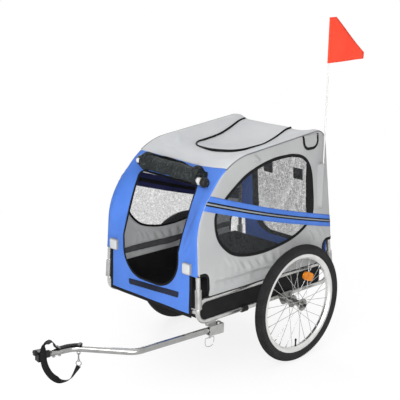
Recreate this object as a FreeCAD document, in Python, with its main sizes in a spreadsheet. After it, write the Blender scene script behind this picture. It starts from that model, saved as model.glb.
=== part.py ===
# Two-wheeled dog trailer towed by a bicycle: a tube frame under a cloth cabin,
# spoked wheels on plug-in axles, a bent tow arm with a frame clamp, and a safety flag.
# Drawn in millimetres with +X forward, +Y to the left, +Z up, the wheel axis at x = 0;
# every finished piece is then moved by axle_x so that the origin is under the middle.

import FreeCAD, Part
import math
import os
import re

V = FreeCAD.Vector
doc = FreeCAD.newDocument("dog_bike_trailer")
sheet = doc.addObject("Spreadsheet::Sheet", "Size")

# Driving dimensions
SIZES = [
    # wheels
    ("axle_x", -334.9), ("wheel_radius", 250), ("wheel_out", 80), ("tyre_section", 22),
    ("rim_edge_radius", 211), ("rim_well_radius", 199), ("rim_inner_radius", 191),
    ("rim_half_width", 13.5), ("rim_flange", 2.2), ("bead_gap", 0.3),
    ("spoke_radius", 1.1), ("spoke_circle", 21), ("hub_flange_radius", 26), ("hub_flange_offset", 27),
    ("hub_flange_thickness", 3), ("hub_barrel_radius", 13), ("hub_half_length", 31),
    ("hub_end_radius", 17), ("bearing_radius", 11), ("bearing_width", 8),
    ("axle_radius", 6), ("axle_cap_radius", 13), ("axle_cap_length", 8), ("axle_inset", 3),
    ("button_radius", 6), ("button_length", 8), ("button_proud", 4), ("button_travel", 3),
    ("running_gap", 0.05), ("spoke_reflector_width", 35), ("spoke_reflector_length", 64),
    ("spoke_reflector_depth", 8), ("spoke_reflector_place", 119), ("spoke_reflector_angle", 23),
    ("valve_radius", 3.5), ("valve_length", 32),
    # frame tubes
    ("tube_radius", 9.5), ("weld_reach", 3), ("frame_half_width", 265), ("rail_low", 264),
    ("rail_high", 354),
    ("loop_front", 504), ("loop_rear", -295), ("infill_thickness", 2), ("infill_rear", -233),
    ("infill_bend", 8), ("fit_gap", 0.3),
    ("floor_thickness", 4), ("floor_margin", 10), ("floor_rear", -245), ("turn_up_top", 382),
    ("turn_up_thickness", 2),
    ("socket_radius", 13.5), ("socket_foot", 325), ("socket_top", 400), ("leg_foot", 353),
    ("snap_radius", 3), ("snap_proud", 1.5), ("snap_drop", 16), ("trim_reach", 380),
    # cabin cover
    ("cabin_front", 516), ("cabin_rear_foot", -312), ("cabin_rear_top", -255),
    ("cabin_foot", 283), ("cabin_brow", 680), ("cabin_crown_x", 331), ("cabin_crown", 889),
    ("cabin_top", 945), ("front_bend", 260), ("crown_bend", 290), ("rear_bend", 60),
    ("cabin_lean_angle", 3.4), ("lean_height", 400), ("cloth", 2), ("net", 1),
    ("front_seam", 853), ("rear_seam", 905),
    ("side_foot", 365), ("corner_cut_front", 462), ("corner_cut_rear", -242),
    ("corner_cut_top", 454), ("corner_cut_bend", 22), ("foot_inset", 24),
    ("door_half_width", 160), ("door_foot", 374), ("door_top", 782), ("door_bend", 110),
    ("door_top_bend", 20),
    ("rear_window_half_width", 186), ("rear_window_foot", 398), ("rear_window_top", 860),
    ("rear_window_bend", 110), ("rear_panel_foot", 345),
    ("band_width", 52), ("band_front_height", 740), ("band_rear_height", 536), ("band_thickness", 1.6),
    ("flap_half_width", 133), ("flap_front", 238), ("flap_rear", -158), ("flap_bend", 110),
    ("roll_radius", 32), ("roll_left_y", 187), ("roll_right_y", -121), ("roll_left_height", 830),
    ("roll_right_height", 834), ("toggle_radius", 16), ("toggle_length", 24),
    ("reflector_size", 45), ("reflector_depth", 9), ("reflector_bend", 7),
    ("reflector_inset", 49), ("reflector_height", 480),
    # axle brackets
    ("plate_thickness", 5), ("plate_half_width", 52), ("plate_top", 281), ("plate_foot", 228),
    ("plate_nose", 18), ("plate_bend", 12), ("sleeve_radius", 12), ("sleeve_length", 32),
    ("bolt_radius", 4), ("bolt_head_radius", 7), ("bolt_head_height", 4.5), ("bolt_place", 28),
    ("clip_x", 227), ("clip_length", 30), ("clip_wall", 5),
    # flag
    ("mast_x", -218), ("mast_radius", 3), ("mast_foot", 612), ("mast_top", 1410), ("mast_stand_off", 0.4),
    ("pocket_foot", 606), ("pocket_top", 798), ("pocket_wall", 2.2),
    ("flag_lead", 8), ("flag_length", 243), ("flag_height", 188), ("flag_thickness", 1), ("flag_hem", 44),
    # tow arm, in its own frame with the pivot at the origin
    ("pivot_x", 397), ("pivot_out", 11), ("arm_height", 225), ("arm_radius", 12.5), ("arm_yaw", 3.5),
    ("arm_bend_place", 416), ("arm_bend_angle", 48), ("arm_bend_radius", 70), ("arm_reach", 235),
    ("arm_tip", 97), ("arm_tip_angle", 40.5),
    ("channel_wall", 3.5), ("channel_front", 58), ("channel_rear", 14),
    ("channel_half_height", 20), ("channel_side_gap", 0.8), ("channel_inner_reach", 15),
    ("pivot_bolt_radius", 5), ("pivot_head_radius", 9), ("pivot_head_height", 5),
    ("saddle_length", 42), ("saddle_start", 14), ("saddle_half_width", 9),
    ("pin_radius", 4), ("pin_place", 46), ("pin_travel", 10), ("pin_tip_gap", 1), ("ring_wire", 1.4),
    ("ring_half_width", 23), ("ring_drop", 38), ("ring_top_bend", 4.3), ("ring_foot_bend", 20),
    ("pin_foot", 5),
    # hitch, in its own frame with the end of the arm at the origin
    ("neck_thickness", 5), ("neck_half_width", 10), ("neck_root", 50), ("neck_reach", 16),
    ("neck_bolt_rear", 37), ("neck_bolt_front", 13), ("hitch_bolt_tail", 2),
    ("hitch_bolt_radius", 3), ("hitch_nut_radius", 6), ("hitch_nut_height", 5), ("hitch_bolt_top", 9),
    ("joint_radius", 14), ("joint_length", 16), ("joint_overlap", 10),
    ("jaw_half_width", 15), ("jaw_half_height", 20), ("jaw_depth", 16), ("jaw_gap", 2), ("jaw_bore", 10),
    ("screw_radius", 3), ("screw_height", 14.8),
    ("knob_radius", 11), ("knob_length", 12), ("knob_lobe", 4),
    ("strap_width", 25), ("strap_thickness", 1.6), ("strap_lift", 2.1), ("strap_tail", 32),
    ("strap_turn", 16), ("strap_lift_off", 24), ("loop_drop", 126),
    ("buckle_length", 9), ("buckle_rim", 3), ("buckle_rear", 27), ("buckle_front", 37),
    ("eye_radius", 6), ("eye_wire", 1.6), ("eye_place", 18), ("shank_length", 16), ("shank_radius", 3),
    ("swivel_radius", 5), ("dee_radius", 10),
    # places that follow the width of the frame
    ("wheel_offset", "=frame_half_width + wheel_out"), ("pivot_y", "=frame_half_width + pivot_out"),
    ("foot_half_width", "=frame_half_width - foot_inset"),
    ("reflector_y", "=frame_half_width - reflector_inset"),
]

for row, (alias, value) in enumerate(SIZES, start=1):
    sheet.set(f"A{row}", alias)
    sheet.set(f"B{row}", str(value))
    sheet.setAlias(f"B{row}", alias)
doc.recompute()

ALIASES = {alias for alias, value in SIZES}
NODES = []
MEETS = 1e-6


def size(alias):
    """The value of one cell of the sheet, as a plain number."""
    return float(sheet.get(alias))


def formula(words):
    """An expression written with bare aliases, turned into one that names the sheet."""
    return re.sub(r"[a-z_]+", lambda m: f"Size.{m[0]}" if m[0] in ALIASES else m[0], str(words))


def bind(obj, **properties):
    for name, words in properties.items():
        obj.setExpression(name, formula(words))
    return obj


def place(obj, x="0", y="0", z="0"):
    for axis, words in zip("xyz", (x, y, z)):
        obj.setExpression(f".Placement.Base.{axis}", formula(words))
    return obj


TURNS = {"x": FreeCAD.Rotation(V(0, 1, 0), 90), "y": FreeCAD.Rotation(V(1, 0, 0), -90),
         "z": FreeCAD.Rotation()}


def cylinder(name, along, radius, length, x="0", y="0", z="0"):
    """A cylinder that starts at a point and runs along +X, +Y or +Z."""
    obj = doc.addObject("Part::Cylinder", name)
    obj.Placement = FreeCAD.Placement(V(), TURNS[along])
    bind(obj, Radius=radius, Height=length)
    return place(obj, x, y, z)


def box(name, length, width, height, x, y, z):
    """A box from its lowest corner."""
    obj = doc.addObject("Part::Box", name)
    bind(obj, Length=length, Width=width, Height=height)
    return place(obj, x, y, z)


def torus(name, along, ring, wire, x="0", y="0", z="0"):
    obj = doc.addObject("Part::Torus", name)
    obj.Placement = FreeCAD.Placement(V(), TURNS[along])
    bind(obj, Radius1=ring, Radius2=wire)
    return place(obj, x, y, z)


def fuse(name, *parts):
    obj = doc.addObject("Part::MultiFuse", name)
    obj.Shapes = list(parts)
    obj.Refine = True
    return obj


def group(name, *parts):
    obj = doc.addObject("Part::Compound", name)
    obj.Links = list(parts)
    return obj


def cut(name, base, *tools):
    obj = doc.addObject("Part::Cut", name)
    obj.Base = base
    obj.Tool = tools[0] if len(tools) == 1 else fuse(name + "_tools", *tools)
    return obj


def common(name, base, tool):
    obj = doc.addObject("Part::Common", name)
    obj.Base = base
    obj.Tool = tool
    return obj


def solid(name, shape):
    obj = doc.addObject("Part::Feature", name)
    obj.Shape = shape
    return obj


def node(label, obj, frame=None):
    """Name a finished piece and move it, with its own frame, from the axle to the row's origin."""
    obj.Label = label
    if frame is None:
        place(obj, x="axle_x")
    else:
        obj.Placement = FreeCAD.Placement(V(size("axle_x"), 0, 0), FreeCAD.Rotation()).multiply(frame)
    NODES.append(obj)
    return obj


# Outlines: lists of corners, each a point and the radius that rounds it

def rounded(corners, closed=True):
    """Edges of straight runs joined by tangent arcs."""
    count = len(corners)
    ends = []
    for index, (point, radius) in enumerate(corners):
        open_end = not closed and index in (0, count - 1)
        if open_end or radius == 0:
            ends.append((point, None, point))
            continue
        back = (corners[index - 1][0] - point).normalize()
        ahead = (corners[(index + 1) % count][0] - point).normalize()
        half = back.getAngle(ahead) / 2
        reach = radius / math.tan(half)
        middle = point + (back + ahead).normalize() * (radius / math.sin(half) - radius)
        ends.append((point + back * reach, middle, point + ahead * reach))
    edges = []
    for index in range(count):
        start, middle, end = ends[index]
        if middle is not None:
            edges.append(Part.Arc(start, middle, end).toShape())
        if index < count - 1 or closed:
            following = ends[(index + 1) % count][0]
            if (following - end).Length > MEETS:
                edges.append(Part.LineSegment(end, following).toShape())
    return edges


def inset(corners, depth):
    """The same open outline in the XZ plane, moved to its right-hand side by a depth."""
    normals = []
    for (start, _), (end, _) in zip(corners, corners[1:]):
        run = (end - start).normalize()
        normals.append(V(run.z, 0, -run.x))
    moved = [(corners[0][0] + normals[0] * depth, 0)]
    for index in range(1, len(corners) - 1):
        first, second = normals[index - 1], normals[index]
        point, radius = corners[index]
        shift = (first + second) * (depth / (1 + first.dot(second)))
        turn = first.cross(second).y
        moved.append((point + shift, radius + depth if turn > 0 else radius - depth))
    moved.append((corners[-1][0] + normals[-1] * depth, 0))
    return moved


def outline(name, corners):
    """A flat face inside a closed outline."""
    return solid(name, Part.Face(Part.Wire(rounded(corners))))


def extrude(name, face, direction, length):
    obj = doc.addObject("Part::Extrusion", name)
    obj.Base = face
    obj.DirMode = "Custom"
    obj.Dir = direction
    obj.Solid = True
    bind(obj, LengthFwd=length)
    return obj


def tube(name, corners, radius, closed=False):
    """A round bar swept along straight runs and tangent arcs."""
    wire = Part.Wire(rounded(corners, closed))
    spine = solid(name + "_spine", wire)
    first = wire.OrderedEdges[0]
    section = doc.addObject("Part::Circle", name + "_section")
    bind(section, Radius=radius)
    start = first.valueAt(first.FirstParameter)
    tangent = first.tangentAt(first.FirstParameter)
    section.Placement = FreeCAD.Placement(start, FreeCAD.Rotation(V(0, 0, 1), tangent))
    obj = doc.addObject("Part::Sweep", name)
    obj.Sections = [section]
    obj.Spine = (spine, [f"Edge{index + 1}" for index in range(len(wire.Edges))])
    obj.Solid = True
    return obj


def turned(name, corners):
    """A body turned about the Y axis from a profile whose x is the radius."""
    body = doc.addObject("PartDesign::Body", name)
    sketch = body.newObject("Sketcher::SketchObject", name + "_profile")
    plane = next(item for item in body.Origin.OriginFeatures if item.Role == "XY_Plane")
    sketch.AttachmentSupport = [(plane, "")]
    sketch.MapMode = "FlatFace"
    for edge in rounded(corners):
        curve = edge.Curve
        if isinstance(curve, Part.Circle):
            middle = edge.valueAt((edge.FirstParameter + edge.LastParameter) / 2)
            sketch.addGeometry(Part.Arc(edge.valueAt(edge.FirstParameter), middle,
                                        edge.valueAt(edge.LastParameter)))
        else:
            sketch.addGeometry(Part.LineSegment(edge.Vertexes[0].Point, edge.Vertexes[1].Point))
    turn = body.newObject("PartDesign::Revolution", name + "_turn")
    turn.Profile = sketch
    turn.ReferenceAxis = (sketch, ["V_Axis"])
    turn.Angle = 360
    return body


SIDES = (("left", 1), ("right", -1))
CUT = size("trim_reach")

# Side loops: an oblong of bent tube on each side, with a rail above and below
loop_bend = (size("rail_high") - size("rail_low")) / 2
loops = {}
for side, sign in SIDES:
    lateral = sign * size("frame_half_width")
    corners = [(V(x, lateral, z), loop_bend) for x, z in (
        (size("loop_front"), size("rail_low")), (size("loop_front"), size("rail_high")),
        (size("loop_rear"), size("rail_high")), (size("loop_rear"), size("rail_low")))]
    corners = [(V((size("loop_front") + size("loop_rear")) / 2, lateral, size("rail_low")), 0)] + corners
    loops[side] = tube(side + "_loop", corners, "tube_radius", closed=True)

# Cross tubes: butted between the loops at the front, the axle and the rear
rail_middle = "(rail_high + rail_low) / 2"
for label, x, z in (("front_cross_tube", "loop_front", rail_middle), ("axle_cross_tube", "0", "rail_low"),
                    ("rear_cross_tube", "loop_rear", rail_middle)):
    bar = cylinder(label + "_bar", "y", "tube_radius", "2 * (frame_half_width - weld_reach)", x,
                   "weld_reach - frame_half_width", z)
    node(label, cut(label, bar, loops["left"], loops["right"]))

# Infill panels: black sheets laced inside the loops
infill_parts = []
for side, sign in SIDES:
    depth = size("tube_radius") + size("fit_gap")
    base = sign * size("frame_half_width") - size("infill_thickness") / 2
    low, high = size("rail_low") + depth, size("rail_high") - depth
    # the front end is a full half circle, so its arcs meet without a straight run
    corners = [(V(x, base, z), bend) for x, z, bend in (
        (size("loop_front") - depth, low, loop_bend - depth),
        (size("loop_front") - depth, high, loop_bend - depth),
        (size("infill_rear"), high, size("infill_bend")), (size("infill_rear"), low, size("infill_bend")))]
    infill_parts.append(extrude(side + "_infill", outline(side + "_infill_face", corners), (0, 1, 0),
                                "infill_thickness"))
node("infill_panels", group("infill_panels", *infill_parts))

# Floor: a stiff sheet that lies on the axle cross tube, its edges turned up inside the rails
floor_length = "loop_front - tube_radius - floor_margin - floor_rear"
floor_half = "(frame_half_width - tube_radius - fit_gap)"
floor_z = "(rail_low + tube_radius + fit_gap)"
floor_sheet = box("floor_sheet", floor_length, f"2 * {floor_half}", "floor_thickness", "floor_rear",
                  f"-{floor_half}", floor_z)
turn_ups = [box(side + "_turn_up", floor_length, "turn_up_thickness", f"turn_up_top - {floor_z}",
                "floor_rear", f"{floor_half} - turn_up_thickness" if sign > 0 else f"-{floor_half}", floor_z)
            for side, sign in SIDES]
turn_ups.append(box("rear_turn_up", "turn_up_thickness", f"2 * {floor_half}", f"turn_up_top - {floor_z}",
                    "floor_rear", f"-{floor_half}", floor_z))
node("floor_panel", fuse("floor_panel", floor_sheet, *turn_ups))

# Cabin outline seen from the side, from the front foot over the roof to the rear foot
CABIN = [(V(size("cabin_front"), 0, size("cabin_foot")), 0),
         (V(size("cabin_front"), 0, size("cabin_brow")), size("front_bend")),
         (V(size("cabin_crown_x"), 0, size("cabin_crown")), size("crown_bend")),
         (V(size("cabin_rear_top"), 0, size("cabin_top")), size("rear_bend")),
         (V(size("cabin_rear_foot"), 0, size("cabin_foot")), 0)]
# the cabin's inside lies on the left of this line as it is walked, so inward is a negative inset
arch_depth = size("cloth") + size("fit_gap") + size("tube_radius")
ARCH = inset(CABIN, -arch_depth)


def at_height(start, end, height):
    """The point of a run at a height."""
    share = (height - start.z) / (end.z - start.z)
    return start + (end - start) * share


def leaning(sign):
    """The frame of a side wall: its base line on the frame, leaning in towards the roof."""
    return FreeCAD.Placement(V(0, sign * size("frame_half_width"), size("lean_height")),
                             FreeCAD.Rotation(V(1, 0, 0), sign * size("cabin_lean_angle")))


down = V(0, 0, -size("lean_height"))
front_leg_foot = at_height(ARCH[0][0], ARCH[1][0], size("leg_foot"))
rear_leg_foot = at_height(ARCH[4][0], ARCH[3][0], size("leg_foot"))
arch_corners = [(front_leg_foot + down, 0)] + [(point + down, bend) for point, bend in ARCH[1:4]]
arch_corners.append((rear_leg_foot + down, 0))

# Arches and their sockets: one bent tube on each side, plugged into sleeves on the loop
socket_parts = []
snap_parts = []
arches = {}
for side, sign in SIDES:
    frame = leaning(sign)
    arch = tube(side + "_arch", arch_corners, "tube_radius")
    arch.Placement = frame
    arches[side] = arch
    for end, foot, head in (("front", ARCH[0][0], ARCH[1][0]), ("rear", ARCH[4][0], ARCH[3][0])):
        name = f"{side}_{end}_socket"
        low = at_height(foot, head, size("socket_foot")) + down
        high = at_height(foot, head, size("socket_top")) + down
        run = (high - low).normalize()
        sleeve = doc.addObject("Part::Cylinder", name + "_sleeve")
        bind(sleeve, Radius="socket_radius")
        sleeve.Height = (high - low).Length
        sleeve.Placement = frame.multiply(FreeCAD.Placement(low, FreeCAD.Rotation(V(0, 0, 1), run)))
        snap_start = high - run * size("snap_drop") + V(0, sign * size("tube_radius"), 0)
        snap = doc.addObject("Part::Cylinder", name + "_snap")
        bind(snap, Radius="snap_radius", Height="socket_radius - tube_radius + snap_proud")
        snap_turn = FreeCAD.Rotation(V(0, 0, 1), V(0, sign, 0))
        snap.Placement = frame.multiply(FreeCAD.Placement(snap_start, snap_turn))
        socket_parts.append(cut(name, sleeve, arch, loops[side], snap))
        snap_parts.append(cut(name + "_button", snap, arch))
node("arch_sockets", group("arch_sockets", *socket_parts))
node("socket_buttons", group("socket_buttons", *snap_parts))

# Roof bars: two straight tubes that hold the arches apart
roof_edges = rounded(ARCH, closed=False)
roof_arcs = [edge for edge in roof_edges if isinstance(edge.Curve, Part.Circle)]
lean = math.radians(size("cabin_lean_angle"))
bar_parts = []
crown_arc, rear_arc = roof_arcs[1:]
for word, point in (("front", crown_arc.valueAt(crown_arc.FirstParameter)),
                    ("rear", rear_arc.valueAt(rear_arc.LastParameter))):
    reach = (size("frame_half_width") - (point.z - size("lean_height")) * math.tan(lean)
             - size("weld_reach"))
    bar = doc.addObject("Part::Cylinder", word + "_roof_bar")
    bind(bar, Radius="tube_radius")
    bar.Height = 2 * reach
    bar.Placement = FreeCAD.Placement(V(point.x, -reach, point.z), TURNS["y"])
    bar_parts.append(cut(word + "_roof_bar_cut", bar, arches["left"], arches["right"]))
node("roof_bars", group("roof_bars", *bar_parts))

for side, sign in SIDES:
    node(side + "_side_loop", group(side + "_side_loop", loops[side]))
    node(side + "_cabin_arch", group(side + "_cabin_arch", arches[side]))

# Cabin core: the space between the two side covers, which trims the front, roof and rear cloth
cover_inner = size("tube_radius") + size("fit_gap")


def wall_inner(height):
    """Half the width between the side covers at a height."""
    base = size("frame_half_width") + cover_inner / math.cos(lean)
    return base - (height - size("lean_height")) * math.tan(lean) - size("fit_gap")


core_low = size("cabin_foot") - CUT
core_high = size("cabin_top") + CUT
core_x = size("cabin_rear_foot") - CUT
core_face = outline("core_face", [(V(core_x, y, z), 0) for y, z in (
    (-wall_inner(core_low), core_low), (wall_inner(core_low), core_low),
    (wall_inner(core_high), core_high), (-wall_inner(core_high), core_high))])
core_length = size("cabin_front") - core_x + CUT
core = solid("core", core_face.Shape.extrude(V(core_length, 0, 0)))


def strip(name, outside, inside):
    """A band of cloth between two depths of the cabin outline, as wide as the cabin."""
    outer = rounded(inset(CABIN, -outside), closed=False)
    inner = rounded(inset(CABIN, -inside), closed=False)
    ends = [Part.LineSegment(outer[0].valueAt(outer[0].FirstParameter),
                             inner[0].valueAt(inner[0].FirstParameter)).toShape(),
            Part.LineSegment(outer[-1].valueAt(outer[-1].LastParameter),
                             inner[-1].valueAt(inner[-1].LastParameter)).toShape()]
    face = Part.Face(Part.Wire(Part.__sortEdges__(outer + inner + ends)))
    half = size("frame_half_width") + CUT
    face.translate(V(0, -half, 0))
    return solid(name, face.extrude(V(0, 2 * half, 0)))


def upright_prism(name, corners, x, length):
    """A prism along X from an outline drawn in Y and Z, for openings in the front and rear."""
    face = Part.Face(Part.Wire(rounded([(V(x, point.x, point.y), bend) for point, bend in corners])))
    return solid(name, face.extrude(V(length, 0, 0)))


def region(name, x_low, x_high, y_low, y_high, z_low, z_high):
    shape = Part.makeBox(x_high - x_low, y_high - y_low, z_high - z_low, V(x_low, y_low, z_low))
    return solid(name, shape)


shell = common("shell", strip("shell_strip", 0, size("cloth")), core)
far = CUT + size("frame_half_width")
middle_x = (size("cabin_front") + size("cabin_rear_foot")) / 2
front_region = region("front_region", middle_x, size("cabin_front") + CUT, -far, far,
                      size("cabin_foot") - CUT, size("front_seam"))
rear_region = region("rear_region", size("cabin_rear_foot") - CUT, middle_x, -far, far,
                     size("cabin_foot") - CUT, size("rear_seam"))

# Front panel: the blue nose with its doorway, narrower at the foot to clear the sockets
door = upright_prism("door", [
    (V(-size("door_half_width"), size("door_foot"), 0), size("door_bend")),
    (V(size("door_half_width"), size("door_foot"), 0), size("door_bend")),
    (V(size("door_half_width"), size("door_top"), 0), size("door_top_bend")),
    (V(-size("door_half_width"), size("door_top"), 0), size("door_top_bend"))],
    middle_x, size("cabin_front") - middle_x + CUT)
front_corners = [region(f"{side}_front_corner", middle_x, size("cabin_front") + CUT,
                        min(sign * size("foot_half_width"), sign * far),
                        max(sign * size("foot_half_width"), sign * far),
                        size("cabin_foot") - CUT, size("corner_cut_top"))
                 for side, sign in SIDES]
node("front_panel", cut("front_panel", common("front_cloth", shell, front_region), door, *front_corners))

# Roof cover: from the front seam back over the rear corner
node("roof_cover", cut("roof_cover", shell, front_region, rear_region))

# Rear panel with a netted window, ending at the upper rail
rear_window = upright_prism("rear_window", [
    (V(y, z, 0), size("rear_window_bend")) for y, z in (
        (-size("rear_window_half_width"), size("rear_window_foot")),
        (size("rear_window_half_width"), size("rear_window_foot")),
        (size("rear_window_half_width"), size("rear_window_top")),
        (-size("rear_window_half_width"), size("rear_window_top")))],
    size("cabin_rear_foot") - CUT, middle_x - size("cabin_rear_foot") + CUT)
rear_corners = [region(f"{side}_rear_corner", size("cabin_rear_foot") - CUT, middle_x,
                       min(sign * size("foot_half_width"), sign * far),
                       max(sign * size("foot_half_width"), sign * far),
                       size("cabin_foot") - CUT, size("corner_cut_top"))
                for side, sign in SIDES]
rear_foot = region("rear_foot", size("cabin_rear_foot") - CUT, middle_x, -far, far,
                   size("cabin_foot") - CUT, size("rear_panel_foot"))
node("rear_panel", cut("rear_panel", common("rear_cloth", shell, rear_region), rear_window, rear_foot,
                       *rear_corners))
net_depth = (size("cloth") - size("net")) / 2
net_shell = common("net_shell", strip("net_strip", net_depth, net_depth + size("net")), core)
node("rear_window_net", common("rear_window_net", common("rear_net", net_shell, rear_region), rear_window))

# Side covers: a leaning sheet with a big rounded window and cut-away lower corners
cabin_length = size("cabin_front") - size("cabin_rear_foot")
cabin_rise = size("cabin_top") - size("cabin_foot")
WINDOW_SHARES = [(0.912, 0.557, 0.113), (0.729, 0.292, 0.287), (0.172, 0.322, 0.227),
                 (0.172, 0.862, 0.136), (0.606, 0.874, 0.725)]
window_corners = [(V(size("cabin_rear_foot") + along * cabin_length, 0,
                     size("cabin_foot") + up * cabin_rise), bend * cabin_rise)
                  for along, up, bend in WINDOW_SHARES]


def side_sheet(name, sign, corners, start, thickness):
    """A flat sheet in the frame of one side wall, from a depth outside the arch."""
    near = sign * start
    moved = [(V(point.x, near, point.z - size("lean_height")), bend) for point, bend in corners]
    face = outline(name + "_face", moved)
    return extrude(name, face, (0, sign, 0), thickness)


side_foot = size("side_foot")
front_foot_point = at_height(CABIN[0][0], CABIN[1][0], side_foot)
rear_foot_point = at_height(CABIN[4][0], CABIN[3][0], side_foot)
side_corners = [(front_foot_point, 0)] + CABIN[1:4] + [(rear_foot_point, 0)]
cut_top = size("corner_cut_top")
cut_front = [(V(size("corner_cut_front"), 0, side_foot - CUT), 0),
             (V(size("corner_cut_front"), 0, cut_top), size("corner_cut_bend")),
             (V(size("cabin_front") + CUT, 0, cut_top), 0),
             (V(size("cabin_front") + CUT, 0, side_foot - CUT), 0)]
cut_rear = [(V(size("corner_cut_rear"), 0, side_foot - CUT), 0),
            (V(size("cabin_rear_foot") - CUT, 0, side_foot - CUT), 0),
            (V(size("cabin_rear_foot") - CUT, 0, cut_top), 0),
            (V(size("corner_cut_rear"), 0, cut_top), size("corner_cut_bend"))]
for side, sign in SIDES:
    frame = leaning(sign)
    whole = side_sheet(side + "_side_whole", sign, side_corners, cover_inner, "cloth")
    tools = []
    for name, corners in (("window", window_corners), ("front_cut", cut_front), ("rear_cut", cut_rear)):
        tools.append(side_sheet(f"{side}_{name}", sign, corners, cover_inner, "cloth"))
    node(side + "_side_cover", cut(side + "_side_cover", whole, *tools), frame)
    net_start = cover_inner + net_depth
    net = side_sheet(side + "_window_net_sheet", sign, window_corners, net_start, "net")
    node(side + "_window_net", group(side + "_window_net", net), frame)
    band_half = size("band_width") / 2
    front_low = size("band_front_height") - band_half
    front_high = size("band_front_height") + band_half
    brow, crown = CABIN[1][0], CABIN[2][0]
    band_corners = [(at_height(brow, crown, front_low), 0), (at_height(brow, crown, front_high), 0)]
    for height in (size("band_rear_height") + band_half, size("band_rear_height") - band_half):
        band_corners.append((at_height(CABIN[4][0], CABIN[3][0], height), 0))
    band_start = cover_inner + size("cloth") + size("fit_gap")
    band = side_sheet(side + "_band_sheet", sign, band_corners, band_start, "band_thickness")
    node(side + "_side_band", group(side + "_side_band", band), frame)

# Roof flap: a U of cloth over the roof vent, hinged along its rear edge
flap_strip = strip("flap_strip", -size("fit_gap") - size("cloth"), -size("fit_gap"))
flap_corners = [(V(size("flap_rear"), -size("flap_half_width"), 0), 0),
                (V(size("flap_front"), -size("flap_half_width"), 0), size("flap_bend")),
                (V(size("flap_front"), size("flap_half_width"), 0), size("flap_bend")),
                (V(size("flap_rear"), size("flap_half_width"), 0), 0)]
flap_face = Part.Face(Part.Wire(rounded(flap_corners)))
flap_face.translate(V(0, 0, size("cabin_foot") + cabin_rise / 2))
flap_prism = solid("flap_prism", flap_face.extrude(V(0, 0, cabin_rise)))
node("roof_flap", common("roof_flap", flap_strip, flap_prism))

# Screen roll: the net door rolled up under the brow and held by two toggles
brow_run = (CABIN[2][0] - CABIN[1][0]).normalize()
outward = V(brow_run.z, 0, -brow_run.x)


def on_brow(y, height, lift):
    """A point at a distance in front of the straight part of the nose."""
    return at_height(CABIN[1][0], CABIN[2][0], height - outward.z * lift) + outward * lift + V(0, y, 0)


roll_lift = size("roll_radius") + size("fit_gap")
roll_left = on_brow(size("roll_left_y"), size("roll_left_height"), roll_lift)
roll_right = on_brow(size("roll_right_y"), size("roll_right_height"), roll_lift)
roll_run = (roll_left - roll_right).normalize()
roll = doc.addObject("Part::Cylinder", "roll")
bind(roll, Radius="roll_radius")
roll.Height = (roll_left - roll_right).Length
roll.Placement = FreeCAD.Placement(roll_right, FreeCAD.Rotation(V(0, 0, 1), roll_run))
node("screen_roll", group("screen_roll", roll))
toggle_parts = []
for side, point, run in (("left", roll_left, roll_run), ("right", roll_right, roll_run * -1)):
    toggle = doc.addObject("Part::Cylinder", side + "_toggle")
    bind(toggle, Radius="toggle_radius", Height="toggle_length")
    toggle.Placement = FreeCAD.Placement(point, FreeCAD.Rotation(V(0, 0, 1), run))
    toggle_parts.append(toggle)
node("roll_toggles", group("roll_toggles", *toggle_parts))

# Front reflectors: two rounded tiles on the nose
reflector_parts = []
reflector_half = size("reflector_size") / 2
for side, sign in SIDES:
    corners = [(V(size("cabin_front") + size("fit_gap"), sign * size("reflector_y") + dy * reflector_half,
                  size("reflector_height") + dz * reflector_half), size("reflector_bend"))
               for dy, dz in ((-1, -1), (1, -1), (1, 1), (-1, 1))]
    face = outline(side + "_reflector_face", corners)
    reflector_parts.append(extrude(side + "_reflector", face, (1, 0, 0), "reflector_depth"))
node("front_reflectors", group("front_reflectors", *reflector_parts))

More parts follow.
